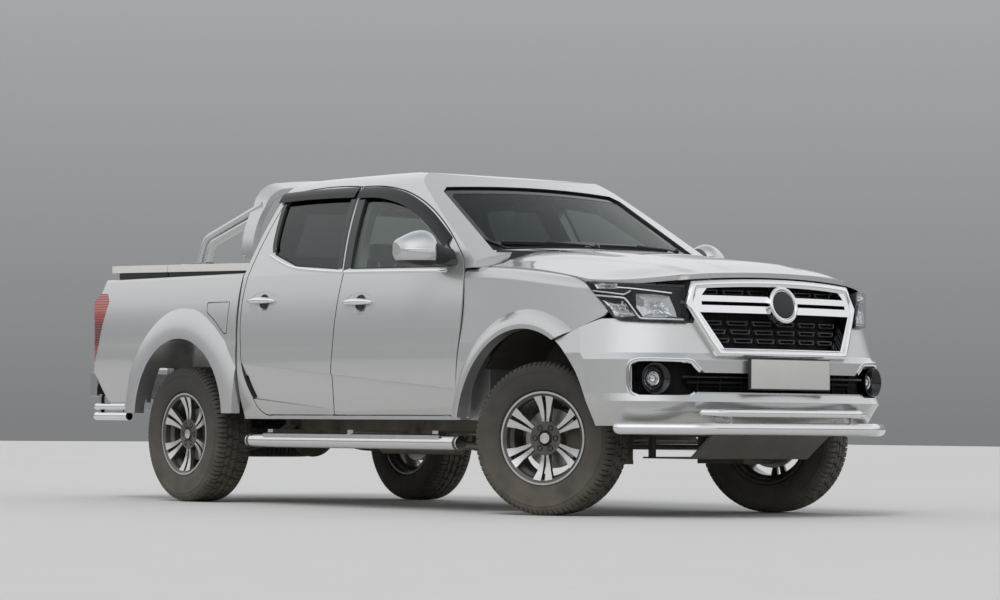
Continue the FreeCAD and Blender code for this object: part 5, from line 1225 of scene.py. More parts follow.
def backing_row(z, pitch):
    """A row of the dark wall behind the grille: 27 points across, a pitch apart."""
    return [Vector((grille_x(y, z, 0.080), y, z)) for y in [(k - 13) * pitch for k in range(27)]]


backing = [backing_row(z, 0.040) for z in (0.80, 0.95, 1.02)]
backing += [backing_row(z, 0.038) for z in (1.08, 1.142)]
behind = [[point - Vector((0.004, 0, 0)) for point in row] for row in backing]
piece("grille_cells", joined(cells), grille_satin, "truck", "black_trim", replaces=("grille_mesh",),
      smooth=20.0)
piece("grille_backing", shell(backing, behind), deep_black, "truck", "black_trim")

# Front bumper: bright fog lamp surrounds, fog lamps, intake slats and the blank plate

BEZEL_LINE = [(-0.520, 0.716), (-0.545, 0.738), (-0.572, 0.762), (-0.640, 0.766), (-0.720, 0.768),
              (-0.790, 0.767),
              (-0.816, 0.750), (-0.822, 0.715), (-0.822, 0.676), (-0.821, 0.630), (-0.812, 0.602),
              (-0.785, 0.586),
              (-0.720, 0.584), (-0.640, 0.585), (-0.580, 0.587), (-0.548, 0.602)]


def nose(y, z, out=0.0):
    """A point on the nearly upright band of the bumper, and its normal."""
    hit = cast("front_bumper", (3.0, y, 0.765), (-1, 0, 0))
    normal = Vector((hit[1].x, hit[1].y, 0)).normalized()
    return Vector((hit[0].x, y, z)) + normal * out, normal


def fog_bezel():
    """A bright rolled frame round the outer end of the intake, wider at its outer side."""
    path = []
    lifts = []
    for y, z in finer(BEZEL_LINE, 3):
        place, normal = nose(y, z)
        path.append(place)
        lifts.append(normal)
    section = [(-0.013, -0.010), (0.011, -0.010), (0.012, 0.001), (0.008, 0.0055), (0.0, 0.007),
               (-0.009, 0.005),
               (-0.013, 0.0)]
    return sweep(path, section, lifts)


FOG_CENTRE = Vector((2.390, -0.706, 0.676))
FOG_AXIS = Vector((1.0, -0.25, 0.0)).normalized()


def fog_collar():
    profile = [(0.002, 0.031), (0.030, 0.040), (0.050, 0.056), (0.064, 0.068), (0.068, 0.074),
               (0.064, 0.077),
               (0.050, 0.074), (0.020, 0.070), (-0.004, 0.050), (-0.004, 0.031)]
    return turned(profile, FOG_CENTRE, FOG_AXIS, 40)


def fog_reflector():
    profile = [(0.000, 0.003), (0.002, 0.012), (0.008, 0.021), (0.016, 0.027), (0.024, 0.030),
               (0.027, 0.034),
               (0.022, 0.036), (0.006, 0.032), (-0.006, 0.022), (-0.008, 0.003)]
    return turned(profile, FOG_CENTRE, FOG_AXIS, 36)


def fog_lens():
    profile = [(0.025, 0.030), (0.029, 0.026), (0.034, 0.017), (0.036, 0.007), (0.037, 0.001),
               (0.034, 0.001),
               (0.033, 0.007), (0.031, 0.016), (0.026, 0.025), (0.022, 0.029)]
    return turned(profile, FOG_CENTRE, FOG_AXIS, 36)


for side, sign in SIDES:
    side_piece("fog_bezel", side, fog_bezel(), chrome, "truck", "chrome")
    side_piece("fog_collar", side, fog_collar(), gloss_black, "truck", "black_trim")
    side_piece("fog_reflector", side, fog_reflector(), reflector, "truck", "chrome")
    side_piece("fog_lens", side, fog_lens(), lamp_glass, "truck", "lamp_clear")


def intake_bars():
    """A bright bar and dark slats across the lower intake."""
    def across(half_w, z, depth):
        path = []
        for step in range(25):
            y = -half_w + 2 * half_w * step / 24
            path.append(nose(y, z, -depth)[0])
        return path
    flat = [(-0.004, -0.016), (0.004, -0.016), (0.004, 0.006), (0.0, 0.009), (-0.004, 0.006)]
    forward = Vector((1, 0, 0))
    bright = sweep(across(0.600, 0.686, 0.034), flat, forward)
    dark = [sweep(across(0.560, 0.640, 0.060), flat, forward)]
    for index in range(-4, 5):
        y = index * 0.125
        x = nose(y, 0.66, -0.060)[0].x
        dark.append(bar((x - 0.006, y - 0.004, 0.606), (x + 0.012, y + 0.004, 0.712), 0.0015))
    return bright, joined(dark)


bright_bar, dark_slats = intake_bars()
piece("intake_bright_bar", bright_bar, lamp_bezel, "truck", "chrome")
piece("intake_slats", dark_slats, deep_black, "truck", "black_trim")


def plate(x, half_w, low, high, face):
    """A blank number plate in its frame; face is +1 to the front and -1 to the rear."""
    frame_shape = bar((min(x, x - face * 0.020), -half_w - 0.006, low - 0.006),
                      (max(x, x - face * 0.020), half_w + 0.006, high + 0.006), 0.004)
    sheet = bar((min(x, x + face * 0.0022), -half_w, low), (max(x, x + face * 0.0022), half_w, high), 0.001)
    return frame_shape, sheet


plate_frame, plate_sheet = plate(2.6215, 0.260, 0.632, 0.774, 1)
piece("front_plate_frame", plate_frame, black_plastic, "truck", "black_trim")
piece("front_plate", plate_sheet, plate_white, "truck", "black_trim")
plate_frame, plate_sheet = plate(-2.6535, 0.255, 0.612, 0.688, -1)
piece("rear_plate_frame", plate_frame, black_plastic, "truck", "black_trim")
piece("rear_plate", plate_sheet, plate_white, "truck", "black_trim")

# Door mirrors: dark base and foot, indicator and glass


def mirror_finish():
    """Silver above, black plastic below and on the foot."""
    material = finish("mirror_two_tone", (0.60, 0.60, 0.595), 0.28, (900.0, 0.015, 0.012, 0.0),
                      round_edges=0.003)
    tree = material.node_tree
    shader = shader_of(material)
    split = new_node(tree, "ShaderNodeSeparateXYZ")
    feed(tree, split.inputs[0], object_point(tree))
    inboard = spread(tree, calc(tree, "ABSOLUTE", split.outputs["Y"]), 0.916, 0.918, 1.0, 0.0)
    under = spread(tree, split.outputs["Z"], 1.2835, 1.2845, 1.0, 0.0)
    dark = calc(tree, "MAXIMUM", inboard, under)
    base = shader.inputs["Base Color"].links[0].from_socket
    rough = shader.inputs["Roughness"].links[0].from_socket
    feed(tree, shader.inputs["Base Color"], blend_colour(tree, dark, base, (0.014, 0.014, 0.015, 1)))
    feed(tree, shader.inputs["Roughness"], calc(tree, "ADD", rough, calc(tree, "MULTIPLY", dark, 0.16)))
    feed(tree, shader.inputs["Metallic"], spread(tree, dark, 0.0, 1.0, 0.82, 0.0))
    feed(tree, shader.inputs["Coat Weight"], spread(tree, dark, 0.0, 1.0, 1.0, 0.1))
    return material


mirror_material = mirror_finish()
NODES["intake_panel"].data.materials[0] = deep_black
for side, sign in SIDES:
    NODES["mirror_" + side].data.materials[0] = mirror_material


def mirror_glass():
    outline_points = [(-0.944, 1.284), (-0.944, 1.388), (-0.966, 1.403), (-1.040, 1.396), (-1.084, 1.376),
                      (-1.094, 1.336),
                      (-1.080, 1.302), (-1.036, 1.280), (-0.966, 1.276)]
    rings = []
    centre_y = sum(p[0] for p in outline_points) / len(outline_points)
    centre_z = sum(p[1] for p in outline_points) / len(outline_points)
    x_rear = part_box("mirror_right")[0][0] + 0.012
    for out, scale in ((0.010, 1.0), (-0.001, 1.0), (-0.004, 0.97)):
        rings.append([Vector((x_rear + out, centre_y + (y - centre_y) * scale,
                              centre_z + (z - centre_z) * scale))
                      for y, z in outline_points])
    return loft(rings)


def mirror_indicator():
    path = []
    lifts = []
    for step in range(15):
        y = -0.968 - 0.126 * step / 14
        hit = cast("mirror_right", (2.0, y, 1.338 + 0.003 * step / 14), (-1, 0, 0))
        if hit:
            path.append(hit[0])
            lifts.append(hit[1])
    return sweep(path, [(-0.0045, -0.003), (0.0045, -0.003), (0.0035, 0.0015), (0.0, 0.0025),
                        (-0.0035, 0.0015)], lifts)


def mirror_foot():
    """The black arm between the door's front window corner and the mirror's head."""
    rings = []
    for y, x_mid, x_half, z_mid, z_half in ((-0.846, 0.968, 0.046, 1.302, 0.048),
                                            (-0.880, 0.966, 0.044, 1.306, 0.046),
                                            (-0.915, 0.960, 0.050, 1.318, 0.054),
                                            (-0.950, 0.952, 0.052, 1.326, 0.056)):
        rings.append([Vector((x_mid + a * x_half, y, z_mid + b * z_half)) for a,
                      b in round_section(1.0, 18)])
    return loft(rings)


for side, sign in SIDES:
    side_piece("mirror_foot", side, mirror_foot(), black_plastic, "door_front_" + side, "black_trim")
    side_piece("mirror_glass", side, mirror_glass(), mirror_silver, "door_front_" + side, "chrome")
    side_piece("mirror_indicator", side, mirror_indicator(), chrome, "door_front_" + side, "chrome")

# Tail: banded lamps, tailgate handle, step pads, reflectors


def tail_lamp_finish():
    """Stacked coloured chambers behind one clear coat: pale red, red, dark red and amber towards the tip."""
    material = finish("tail_lamp_chambers", (0.5, 0.01, 0.01), 0.12, (60.0, 0.1, 0.03, 0.0), Coat_Weight=0.4,
                      Coat_Roughness=0.02)
    tree = material.node_tree
    shader = shader_of(material)
    split = new_node(tree, "ShaderNodeSeparateXYZ")
    feed(tree, split.inputs[0], object_point(tree))
    ramp = new_node(tree, "ShaderNodeValToRGB")
    feed(tree, ramp.inputs[0], spread(tree, split.outputs["Z"], 0.80, 1.21, 0.0, 1.0))
    bands = ((0.0, (0.22, 0.05, 0.010, 1)), (0.18, (0.26, 0.03, 0.010, 1)), (0.26, (0.09, 0.004, 0.003, 1)),
             (0.55, (0.13, 0.005, 0.004, 1)), (0.60, (0.28, 0.010, 0.006, 1)),
             (0.68, (0.30, 0.015, 0.010, 1)),
             (0.72, (0.34, 0.070, 0.060, 1)), (0.98, (0.36, 0.100, 0.090, 1)))
    set_bands(ramp, bands)
    feed(tree, shader.inputs["Base Color"], ramp.outputs["Color"])
    ridges = calc(tree, "SINE", calc(tree, "MULTIPLY", split.outputs["Z"], 420.0))
    bump = bump_node(tree, 0.0012, ridges)
    feed(tree, shader.inputs["Normal"], bump.outputs["Normal"])
    return material


NODES["tail_lamps"].data.materials[0] = tail_lamp_finish()

handle_parts = [bar((-2.567, -0.118, 1.128), (-2.552, 0.118, 1.182), 0.006),
                bar((-2.572, -0.100, 1.140), (-2.562, 0.100, 1.170), 0.004)]
piece("tailgate_handle", joined(handle_parts), gloss_black, "tailgate", "black_trim")
lock_ring = turned([(-0.004, 0.001), (-0.004, 0.010), (0.002, 0.010), (0.003, 0.007), (0.003, 0.001)],
                   Vector((-2.573, 0.0, 1.155)), Vector((-1, 0, 0)), 20)
piece("tailgate_lock", lock_ring, chrome, "tailgate", "chrome")
trim_line = [Vector((-2.563, y / 10.0, 1.246)) for y in range(-7, 8)]
piece("tailgate_trim_strip", sweep(trim_line, [(-0.006, -0.002), (0.006, -0.002), (0.004, 0.003),
                                               (-0.004, 0.003)],
                                   Vector((-1, 0, 0))), chrome, "tailgate", "chrome")


def ribbed_pad(low, high, ribs, along="y"):
    """A rubber pad with raised ribs across it."""
    lo = Vector(low)
    hi = Vector(high)
    shapes = [bar(tuple(lo), (hi.x, hi.y, hi.z - 0.003), 0.0015)]
    for index in range(ribs):
        t = (index + 0.5) / ribs
        if along == "y":
            x = lo.x + (hi.x - lo.x) * t
            shapes.append(bar((x - 0.0028, lo.y + 0.006, hi.z - 0.0035), (x + 0.0028, hi.y - 0.006, hi.z),
                              0.0009))
        else:
            y = lo.y + (hi.y - lo.y) * t
            shapes.append(bar((lo.x + 0.006, y - 0.0028, hi.z - 0.0035), (hi.x - 0.006, y + 0.0028, hi.z),
                              0.0009))
    return joined(shapes)


piece("bumper_step_pad", ribbed_pad((-2.648, -0.350, 0.689), (-2.586, 0.350, 0.697), 6), rubber_seal,
      "truck",
      "black_trim")
for side, sign in SIDES:
    pad = ribbed_pad((-2.612, -0.640, 0.7355), (-2.580, -0.400, 0.742), 3)
    side_piece("bumper_corner_pad", side, pad, rubber_seal, "truck", "black_trim")
    # the red reflectors are no lamps: their glow is painted light
    glowing_reflector = bar((-2.650, -0.590, 0.640), (-2.640, -0.470, 0.664), 0.003)
    side_piece("rear_marker", side, glowing_reflector, red_glow, "truck", "lamp_red")
    treads = [ribbed_pad((-0.635, -0.903, 0.3895), (-0.110, -0.846, 0.397), 20),
              ribbed_pad((0.180, -0.903, 0.3895), (0.955, -0.846, 0.397), 30)]
    side_piece("step_treads", side, joined(treads), rubber_seal, "truck", "black_trim")
    end_caps = []
    for x, way in ((1.104, 1.0), (-0.812, -1.0)):
        end_caps.append(turned([(-0.020, 0.001), (-0.020, 0.0372), (0.0, 0.0374), (0.005, 0.034),
                                (0.008, 0.020),
                                (0.009, 0.001)], Vector((x - way * 0.009, -0.872, 0.352)),
                               Vector((way, 0, 0)), 28))
    side_piece("step_end_caps", side, joined(end_caps), black_plastic, "truck", "black_trim")

# Load cover: pressed ribs and the seal under its edge

COVER_SLOPE = 0.030 / 1.624


def cover_top(x):
    return 1.280 + 0.014 + 0.002 + 0.042 + COVER_SLOPE * (-0.938 - x)


def cover_rib(x_front, x_rear, y):
    rings = []
    for k in range(9):
        t = k / 8
        x = x_front + (x_rear - x_front) * t
        rise = 0.0042 * math.sin(math.pi * min(1.0, 6 * t, 6 * (1 - t)) / 2)
        section = [(-0.020, -0.001), (0.020, -0.001), (0.020, 0.0), (0.012, rise), (-0.012, rise),
                   (-0.020, 0.0)]
        rings.append([Vector((x, y + a, cover_top(x) + b)) for a, b in section])
    return loft(rings)


def edge_seal(x_front, x_rear, y, top_gap):
    outer = []
    inner = []
    for k in range(9):
        x = x_front + (x_rear - x_front) * k / 8
        top = cover_top(x) - 0.0425
        outer.append([Vector((x, y, 1.2806)), Vector((x, y - top_gap, (1.2806 + top) / 2)),
                      Vector((x, y, top))])
        inner.append([Vector((x, y + 0.014, 1.2806)), Vector((x, y + 0.014, (1.2806 + top) / 2)),
                      Vector((x, y + 0.014, top))])
    return shell(outer, inner)


RIB_PLACES = [-0.60, -0.45, -0.30, -0.15, 0.0, 0.15, 0.30, 0.45, 0.60]
piece("cover_front_ribs", joined([cover_rib(-0.99, -1.745, y) for y in RIB_PLACES]), cover_satin, "truck",
      "cover")
piece("cover_rear_ribs", joined([cover_rib(-1.835, -2.47, y) for y in RIB_PLACES]), cover_satin,
      "cover_rear", "cover")
for side, sign in SIDES:
    side_piece("cover_front_seal", side, edge_seal(-0.955, -1.784, -0.792, 0.003), rubber_seal, "truck",
          "black_trim")
    side_piece("cover_rear_seal", side, edge_seal(-1.796, -2.32, -0.792, 0.003), rubber_seal,
          "cover_rear", "black_trim")

# Hood skin: the pressed form over the plain hood panel, with its creases and raised middle

HOOD_SIDE = [(1.192, -0.755), (1.300, -0.782), ((1.800, -0.812), (2.075, -0.846)),
             ((2.290, -0.770), (2.432, -0.574))]
HOOD_NOSE = [(2.432, -0.574), (2.462, -0.512), ((2.515, 0.0), (2.462, 0.512)), (2.432, 0.574)]
HOOD_HEEL = [(1.192, -0.755), ((1.262, 0.0), (1.192, 0.755))]


def drawn_line(items, count):
    """A drawing of lines and (middle, end) arcs as evenly spaced points."""
    points = [Vector(items[0])]
    for item in items[1:]:
        if isinstance(item[0], tuple):
            points += [Vector(p) for p in arc(tuple(points[-1]), item[0], item[1], 24)]
        else:
            points.append(Vector(item))
    lengths = [0.0]
    for a, b in zip(points, points[1:]):
        lengths.append(lengths[-1] + (b - a).length)
    even = []
    index = 0
    for k in range(count + 1):
        goal = lengths[-1] * k / count
        while index < len(points) - 2 and lengths[index + 1] < goal:
            index += 1
        span = lengths[index + 1] - lengths[index]
        even.append(points[index].lerp(points[index + 1], (goal - lengths[index]) / span if span else 0.0))
    return even


def soft_step(value, low, high):
    t = min(max((value - low) / (high - low), 0.0), 1.0)
    return t * t * (3 - 2 * t)


def hood_relief(x, y, edge):
    """How far the pressed skin stands above the plain panel; edge is the distance to the side shut line."""
    side = abs(y)
    lift = soft_step(edge, 0.0, 0.30)
    length = soft_step(x, 2.52, 2.20) * 0.70 + soft_step(x, 2.10, 1.30) * 0.30
    crown = 0.040 * lift * length
    outer_crease = 0.470 + (2.46 - x) * 0.150
    inner_crease = 0.250 + (2.46 - x) * 0.130
    along = soft_step(x, 2.50, 2.36)
    crown += 0.0075 * soft_step(side, outer_crease + 0.022, outer_crease - 0.006) * along
    inner_rise = 0.0050 * soft_step(side, inner_crease + 0.028, inner_crease - 0.010)
    crown += inner_rise * along * soft_step(x, 1.22, 1.42)
    return crown


def hood_skin():
    columns = 56
    rows = 64
    side_line = drawn_line(HOOD_SIDE, rows)
    heel = drawn_line(HOOD_HEEL, columns)
    nose_line = drawn_line(HOOD_NOSE, columns)
    outer = []
    inner = []
    for i in range(rows + 1):
        t = i / rows
        top_row = []
        low_row = []
        for j in range(columns + 1):
            s = j / columns
            right = side_line[i]
            left = Vector((right.x, -right.y))
            flat = heel[j].lerp(nose_line[j], t) + right.lerp(left, s)
            corners = heel[0].lerp(heel[-1], s).lerp(nose_line[0].lerp(nose_line[-1], s), t)
            place = flat - corners
            middle = Vector((1.86, 0.0))
            place = middle + (place - middle) * 0.9985
            edge = abs(right.y) - abs(place.y)
            hit = cast("hood", (place.x, place.y, 2.0), (0, 0, -1))
            under = cast("hood", (place.x, place.y, 0.9), (0, 0, 1))
            if hit is None or under is None:
                top_row.append(None)
                low_row.append(None)
                continue
            z = hit[0].z + hood_relief(place.x, place.y, edge)
            top_row.append(Vector((place.x, place.y, z)))
            low_row.append(Vector((place.x, place.y, max(under[0].z, hit[0].z - 0.026))))
        outer.append(top_row)
        inner.append(low_row)
    for grid in (outer, inner):
        for i in range(rows + 1):
            for j in range(columns + 1):
                if grid[i][j] is None:
                    near = [grid[a][b] for a in range(max(i - 3, 0), min(i + 4, rows + 1))
                            for b in range(max(j - 3, 0), min(j + 4, columns + 1)) if grid[a][b] is not None]
                    grid[i][j] = near[0].copy()
    return shell(outer, inner)


piece("hood_skin", hood_skin(), silver_paint, "hood", "paint", replaces=("hood",), smooth=40.0)

ROOF_HALF = 0.59
ROOF_REAR = -0.69
ROOF_BLEND = 0.012  # height difference over which the two curves of the roof run into each other


def roof_skin():
    """Rounds the crease where the roof's lengthwise curve meets its crosswise one."""
    columns = 48
    rows = 56

    def height(x, y):
        return cast("cab_shell", (x, min(max(y, -0.6), 0.6), 2.5), (0, 0, -1))[0].z

    def evened(x, y, step_x, step_y):
        return sum(height(x + step_x * k, y + step_y * k) for k in range(-2, 3)) / 5

    outer = []
    inner = []
    for i in range(rows + 1):
        top_row = []
        low_row = []
        for j in range(columns + 1):
            y = ROOF_HALF * (2 * j / columns - 1)
            front = 0.508 - 0.33 * y * y
            x = ROOF_REAR + (front - ROOF_REAR) * i / rows
            plain = height(x, y)
            lengthwise = max(evened(x, 0.0, 0.018, 0.0), plain)
            crosswise = max(evened(-0.2, y, 0.0, 0.018), plain)
            gap = math.hypot(lengthwise - crosswise, ROOF_BLEND)
            round_top = (lengthwise + crosswise - gap + ROOF_BLEND) / 2
            share = soft_step(ROOF_HALF - abs(y), 0.0, 0.12) * soft_step(x - ROOF_REAR, 0.0, 0.10)
            share *= soft_step(front - x, 0.0, 0.14)
            top_row.append(Vector((x, y, plain + 0.0006 + share * max(round_top - plain, 0.0))))
            low_row.append(Vector((x, y, plain - 0.003)))
        outer.append(top_row)
        inner.append(low_row)
    return shell(outer, inner)


piece("roof_skin", roof_skin(), silver_paint, "truck", "paint", smooth=40.0)

# Cabin lining: the inner faces of the doors and the cab are dark trim


def lining_group():
    """How far a face looks back at the middle of the cabin."""
    group, entry, leave = shader_group("inward_face", [("Centre", (0.1, 0.0, 1.15))],
                                       [("Mask", "NodeSocketFloat")])
    to_centre = new_node(group, "ShaderNodeVectorMath", operation="SUBTRACT")
    feed(group, to_centre.inputs[0], entry.outputs["Centre"])
    feed(group, to_centre.inputs[1], object_point(group))
    match = new_node(group, "ShaderNodeVectorMath", operation="DOT_PRODUCT")
    feed(group, match.inputs[0], to_centre.outputs[0])
    feed(group, match.inputs[1], new_node(group, "ShaderNodeTexCoord").outputs["Normal"])
    feed(group, leave.inputs["Mask"], spread(group, match.outputs["Value"], 0.015, 0.05, 0.0, 1.0))
    return group


LINING = lining_group()


def lined_paint():
    material = finish("silver_paint_lined", (0.60, 0.60, 0.595), 0.31, (900.0, 0.015, 0.012, 0.0),
                      dust=(0.20, 0.62), round_edges=0.003, Coat_Roughness=0.03)
    tree = material.node_tree
    shader = shader_of(material)
    inward = place_group(tree, LINING).outputs["Mask"]
    base = shader.inputs["Base Color"].links[0].from_socket
    rough = shader.inputs["Roughness"].links[0].from_socket
    feed(tree, shader.inputs["Base Color"], blend_colour(tree, inward, base, (0.028, 0.028, 0.030, 1)))
    feed(tree, shader.inputs["Roughness"], calc(tree, "ADD", rough, calc(tree, "MULTIPLY", inward, 0.4),
                                                True))
    feed(tree, shader.inputs["Metallic"], spread(tree, inward, 0.0, 1.0, 0.82, 0.0))
    feed(tree, shader.inputs["Coat Weight"], spread(tree, inward, 0.0, 1.0, 1.0, 0.0))
    return material


lined_silver = lined_paint()
for node_name in ("cab_shell", "door_front_right", "door_front_left", "door_rear_right", "door_rear_left"):
    NODES[node_name].data.materials[0] = lined_silver
NODES["cab_glass"].data.materials[0] = windscreen_glass


def window_reveal(drawing, glass_node, sample):
    """Black rubber lining of a window's cut edge, from the skin in to the pane."""
    x, z = sample
    skin_y = side_point(x, z, 0.0).y
    pane = cast(glass_node, (x, -1.3, z), (0, 1, 0))
    depth = abs(skin_y - pane[0].y) * 0.93 - 0.0015
    loop = trace(drawing, 8)
    outer = []
    inner = []
    for far, near in zip(inset(loop, 0.0006), inset(loop, 0.0036)):
        outer.append([side_point(far[0], far[1], out) for out in (-0.0005, -depth)])
        inner.append([side_point(near[0], near[1], out) for out in (-0.0005, -depth)])
    outer.append(outer[0])
    inner.append(inner[0])
    return shell(outer, inner)


def flat_band(line, width, proud=0.0022):
    """A flat gloss band lying on the door skin."""
    path = [side_point(x, z, 0.0) for x, z in finer(line, 5)]
    lifts = [side_normal(x, z) for x, z in finer(line, 5)]
    half = width / 2
    section = [(-half, -0.001), (half, -0.001), (half, proud - 0.001), (half - 0.0015, proud),
               (-half + 0.0015, proud),
               (-half, proud - 0.001)]
    return sweep(path, section, lifts)


def dish_rim(x, z):
    """The raised oval edge of the hollow round a door handle."""
    path = []
    lifts = []
    for k in range(48):
        angle = 2 * math.pi * k / 48
        place = (x + 0.129 * math.cos(angle), z + 0.056 * math.sin(angle))
        path.append(side_point(place[0], place[1], 0.0))
        lifts.append(side_normal(*place))
    section = [(-0.0035, -0.0010), (0.0035, -0.0010), (0.0020, 0.0012), (0.0, 0.0018), (-0.0020, 0.0012)]
    return sweep(path, section, lifts, closed=True)


QUARTER_BAND = [(-0.680, 1.392), (-0.704, 1.430), (-0.728, 1.520), (-0.752, 1.630), (-0.756, 1.672)]
SASH_FRONT = [(0.062, 1.272), (0.029, 1.42), (-0.003, 1.56), (-0.031, 1.684)]
SASH_REAR = [(-0.010, 1.276), (-0.044, 1.42), (-0.078, 1.56), (-0.112, 1.694)]

for side, sign in SIDES:
    front = "door_front_" + side
    rear = "door_rear_" + side
    reveal = window_reveal(FRONT_WINDOW, "glass_front_right", (0.40, 1.40))
    side_piece("window_reveal_front", side, reveal, rubber_seal, front, "black_trim")
    reveal = window_reveal(REAR_WINDOW, "glass_rear_right", (-0.40, 1.45))
    side_piece("window_reveal_rear", side, reveal, rubber_seal, rear, "black_trim")
    side_piece("quarter_band", side, flat_band(QUARTER_BAND, 0.034), gloss_black, rear, "black_trim")
    side_piece("sash_band_front", side, flat_band(SASH_FRONT, 0.064, 0.0028), gloss_black, front,
          "black_trim")
    side_piece("sash_band_rear", side, flat_band(SASH_REAR, 0.044, 0.0028), gloss_black, rear,
          "black_trim")
    for body, x, z in ((front, 0.226, 1.087), (rear, -0.684, 1.115)):
        axle = body.split("_")[1]
        # a dark disc in each handle hollow is painted shade of the recess
        piece("handle_dish_shade_" + axle + "_" + side, on_side(dish_shade_disc(x, z, 0.039), sign), dark_alloy, body,
              "black_trim")
        piece("handle_rim_" + axle + "_" + side, on_side(dish_rim(x - 0.006, z), sign), silver_paint, body,
              "paint")

# Grille: a bevelled bright rim on the flat frame, and a ring on the badge disc

GRILLE_RIM = [(-0.428, 0.786), (-0.566, 1.040), (-0.516, 1.150), ((0.0, 1.170), (0.516, 1.150)),
              (0.566, 1.040),
              (0.428, 0.786)]


def grille_rim():
    loop = trace(GRILLE_RIM, 22, 0.05)
    rings = []
    for distance, out in ((0.0005, 0.0135), (0.006, 0.020), (0.016, 0.0235), (0.026, 0.0215),
                          (0.0365, 0.0145),
                          (0.0365, 0.0125), (0.0005, 0.0125)):
        rings.append([Vector((grille_x(y, z, -out), y, z)) for y, z in inset(loop, distance)])
    return loft(rings, closed=True)


piece("grille_rim", grille_rim(), chrome, "truck", "chrome", smooth=50.0)
BADGE_AXIS = Vector((1, 0, 0.22)).normalized()
badge_face = Vector((2.528, 0, 1.038)) + BADGE_AXIS * 0.040
ring_profile = [(-0.001, 0.072), (-0.001, 0.0905), (0.003, 0.0900), (0.0065, 0.086), (0.0075, 0.081),
                (0.0060, 0.076),
                (0.0020, 0.0725)]
piece("badge_ring", turned(ring_profile, badge_face, BADGE_AXIS, 56), chrome, "truck", "chrome")
dome_profile = [(-0.001, 0.001), (-0.001, 0.070), (0.0010, 0.069), (0.0035, 0.052), (0.0052, 0.028),
                (0.0058, 0.001)]
piece("badge_blank", turned(dome_profile, badge_face, BADGE_AXIS, 56), lamp_bezel, "truck", "black_trim")

# Cabin details seen through the glass and when the doors open


def door_card(x0, x1, arm_x0, arm_x1):
    panel = bar((x0, -0.7865, 0.60), (x1, -0.7780, 1.215), 0.004)
    arm = bar((arm_x0, -0.7800, 0.935), (arm_x1, -0.7230, 0.985), 0.012)
    pocket = bar((arm_x0 - 0.02, -0.7800, 0.640), (arm_x1 - 0.04, -0.7420, 0.760), 0.010)
    speaker = turned([(0.0, 0.001), (0.0, 0.078), (0.006, 0.076), (0.009, 0.066), (0.005, 0.060),
                      (0.007, 0.001)],
                     Vector((arm_x1 + 0.055, -0.7785, 0.720)), Vector((0, 1, 0)), 32)
    pull = sweep([Vector((arm_x1 - 0.06, -0.772, 1.06)), Vector((arm_x1 - 0.02, -0.762, 1.075)),
                  Vector((arm_x1 + 0.04, -0.764, 1.075)), Vector((arm_x1 + 0.07, -0.774, 1.065))],
                 round_section(0.006, 10))
    return joined([panel, arm, pocket, speaker]), pull


for side, sign in SIDES:
    for axle, limits in (("front", (0.060, 0.990, 0.22, 0.72)), ("rear", (-0.640, -0.040, -0.50, -0.14))):
        card, pull = door_card(*limits)
        body = "door_" + axle + "_" + side
        piece("door_card_" + axle + "_" + side, on_side(card, sign), cabin_plastic, body, "cabin")
        piece("door_pull_" + axle + "_" + side, on_side(pull, sign), chrome, body, "chrome")

inner_mirror = bar((0.560, -0.125, 1.585), (0.585, 0.125, 1.648), 0.012)
mirror_stem = sweep([Vector((0.585, 0, 1.625)), Vector((0.625, 0, 1.655)), Vector((0.632, 0, 1.676))],
                    round_section(0.008, 10))
piece("inner_mirror", joined([inner_mirror, mirror_stem]), cabin_plastic, "truck", "cabin")
for index, y in enumerate((-0.36, 0.36)):
    shade = bar((0.300, y - 0.190, 1.700), (0.470, y + 0.190, 1.716), 0.007)
    piece("sun_shade_" + str(index), shade, cabin_plastic, "truck", "cabin")

stop_lamp = bar((-0.860, -0.130, 1.712), (-0.838, 0.130, 1.736), 0.006)
piece("high_stop_lamp", stop_lamp, red_glow, "truck", "lamp_red")

# Seats: padded cushions over plain bases


def pad_block(profile, low_y, high_y, rounding, shrink):
    """A pad's starting shape: a profile in x and z, extruded across and rounded all round."""
    mesh = bmesh.new()
    outline_points = inset([Vector(p) for p in profile], shrink)
    ends = []
    for y in (low_y + shrink, high_y - shrink):
        ends.append([mesh.verts.new((p[0], y, p[1])) for p in outline_points])
    mesh.faces.new(ends[0])
    mesh.faces.new(list(reversed(ends[1])))
    count = len(profile)
    for k in range(count):
        after = (k + 1) % count
        mesh.faces.new([ends[0][k], ends[1][k], ends[1][after], ends[0][after]])
    bmesh.ops.recalc_face_normals(mesh, faces=mesh.faces)
    bmesh.ops.bevel(mesh, geom=list(mesh.edges), offset=rounding, segments=4, profile=0.6, affect="EDGES")
    return mesh


def bare_mesh(thing):
    """A copy of an object's mesh with its modifiers worked in."""
    return bpy.data.meshes.new_from_object(thing.evaluated_get(bpy.context.evaluated_depsgraph_get()))


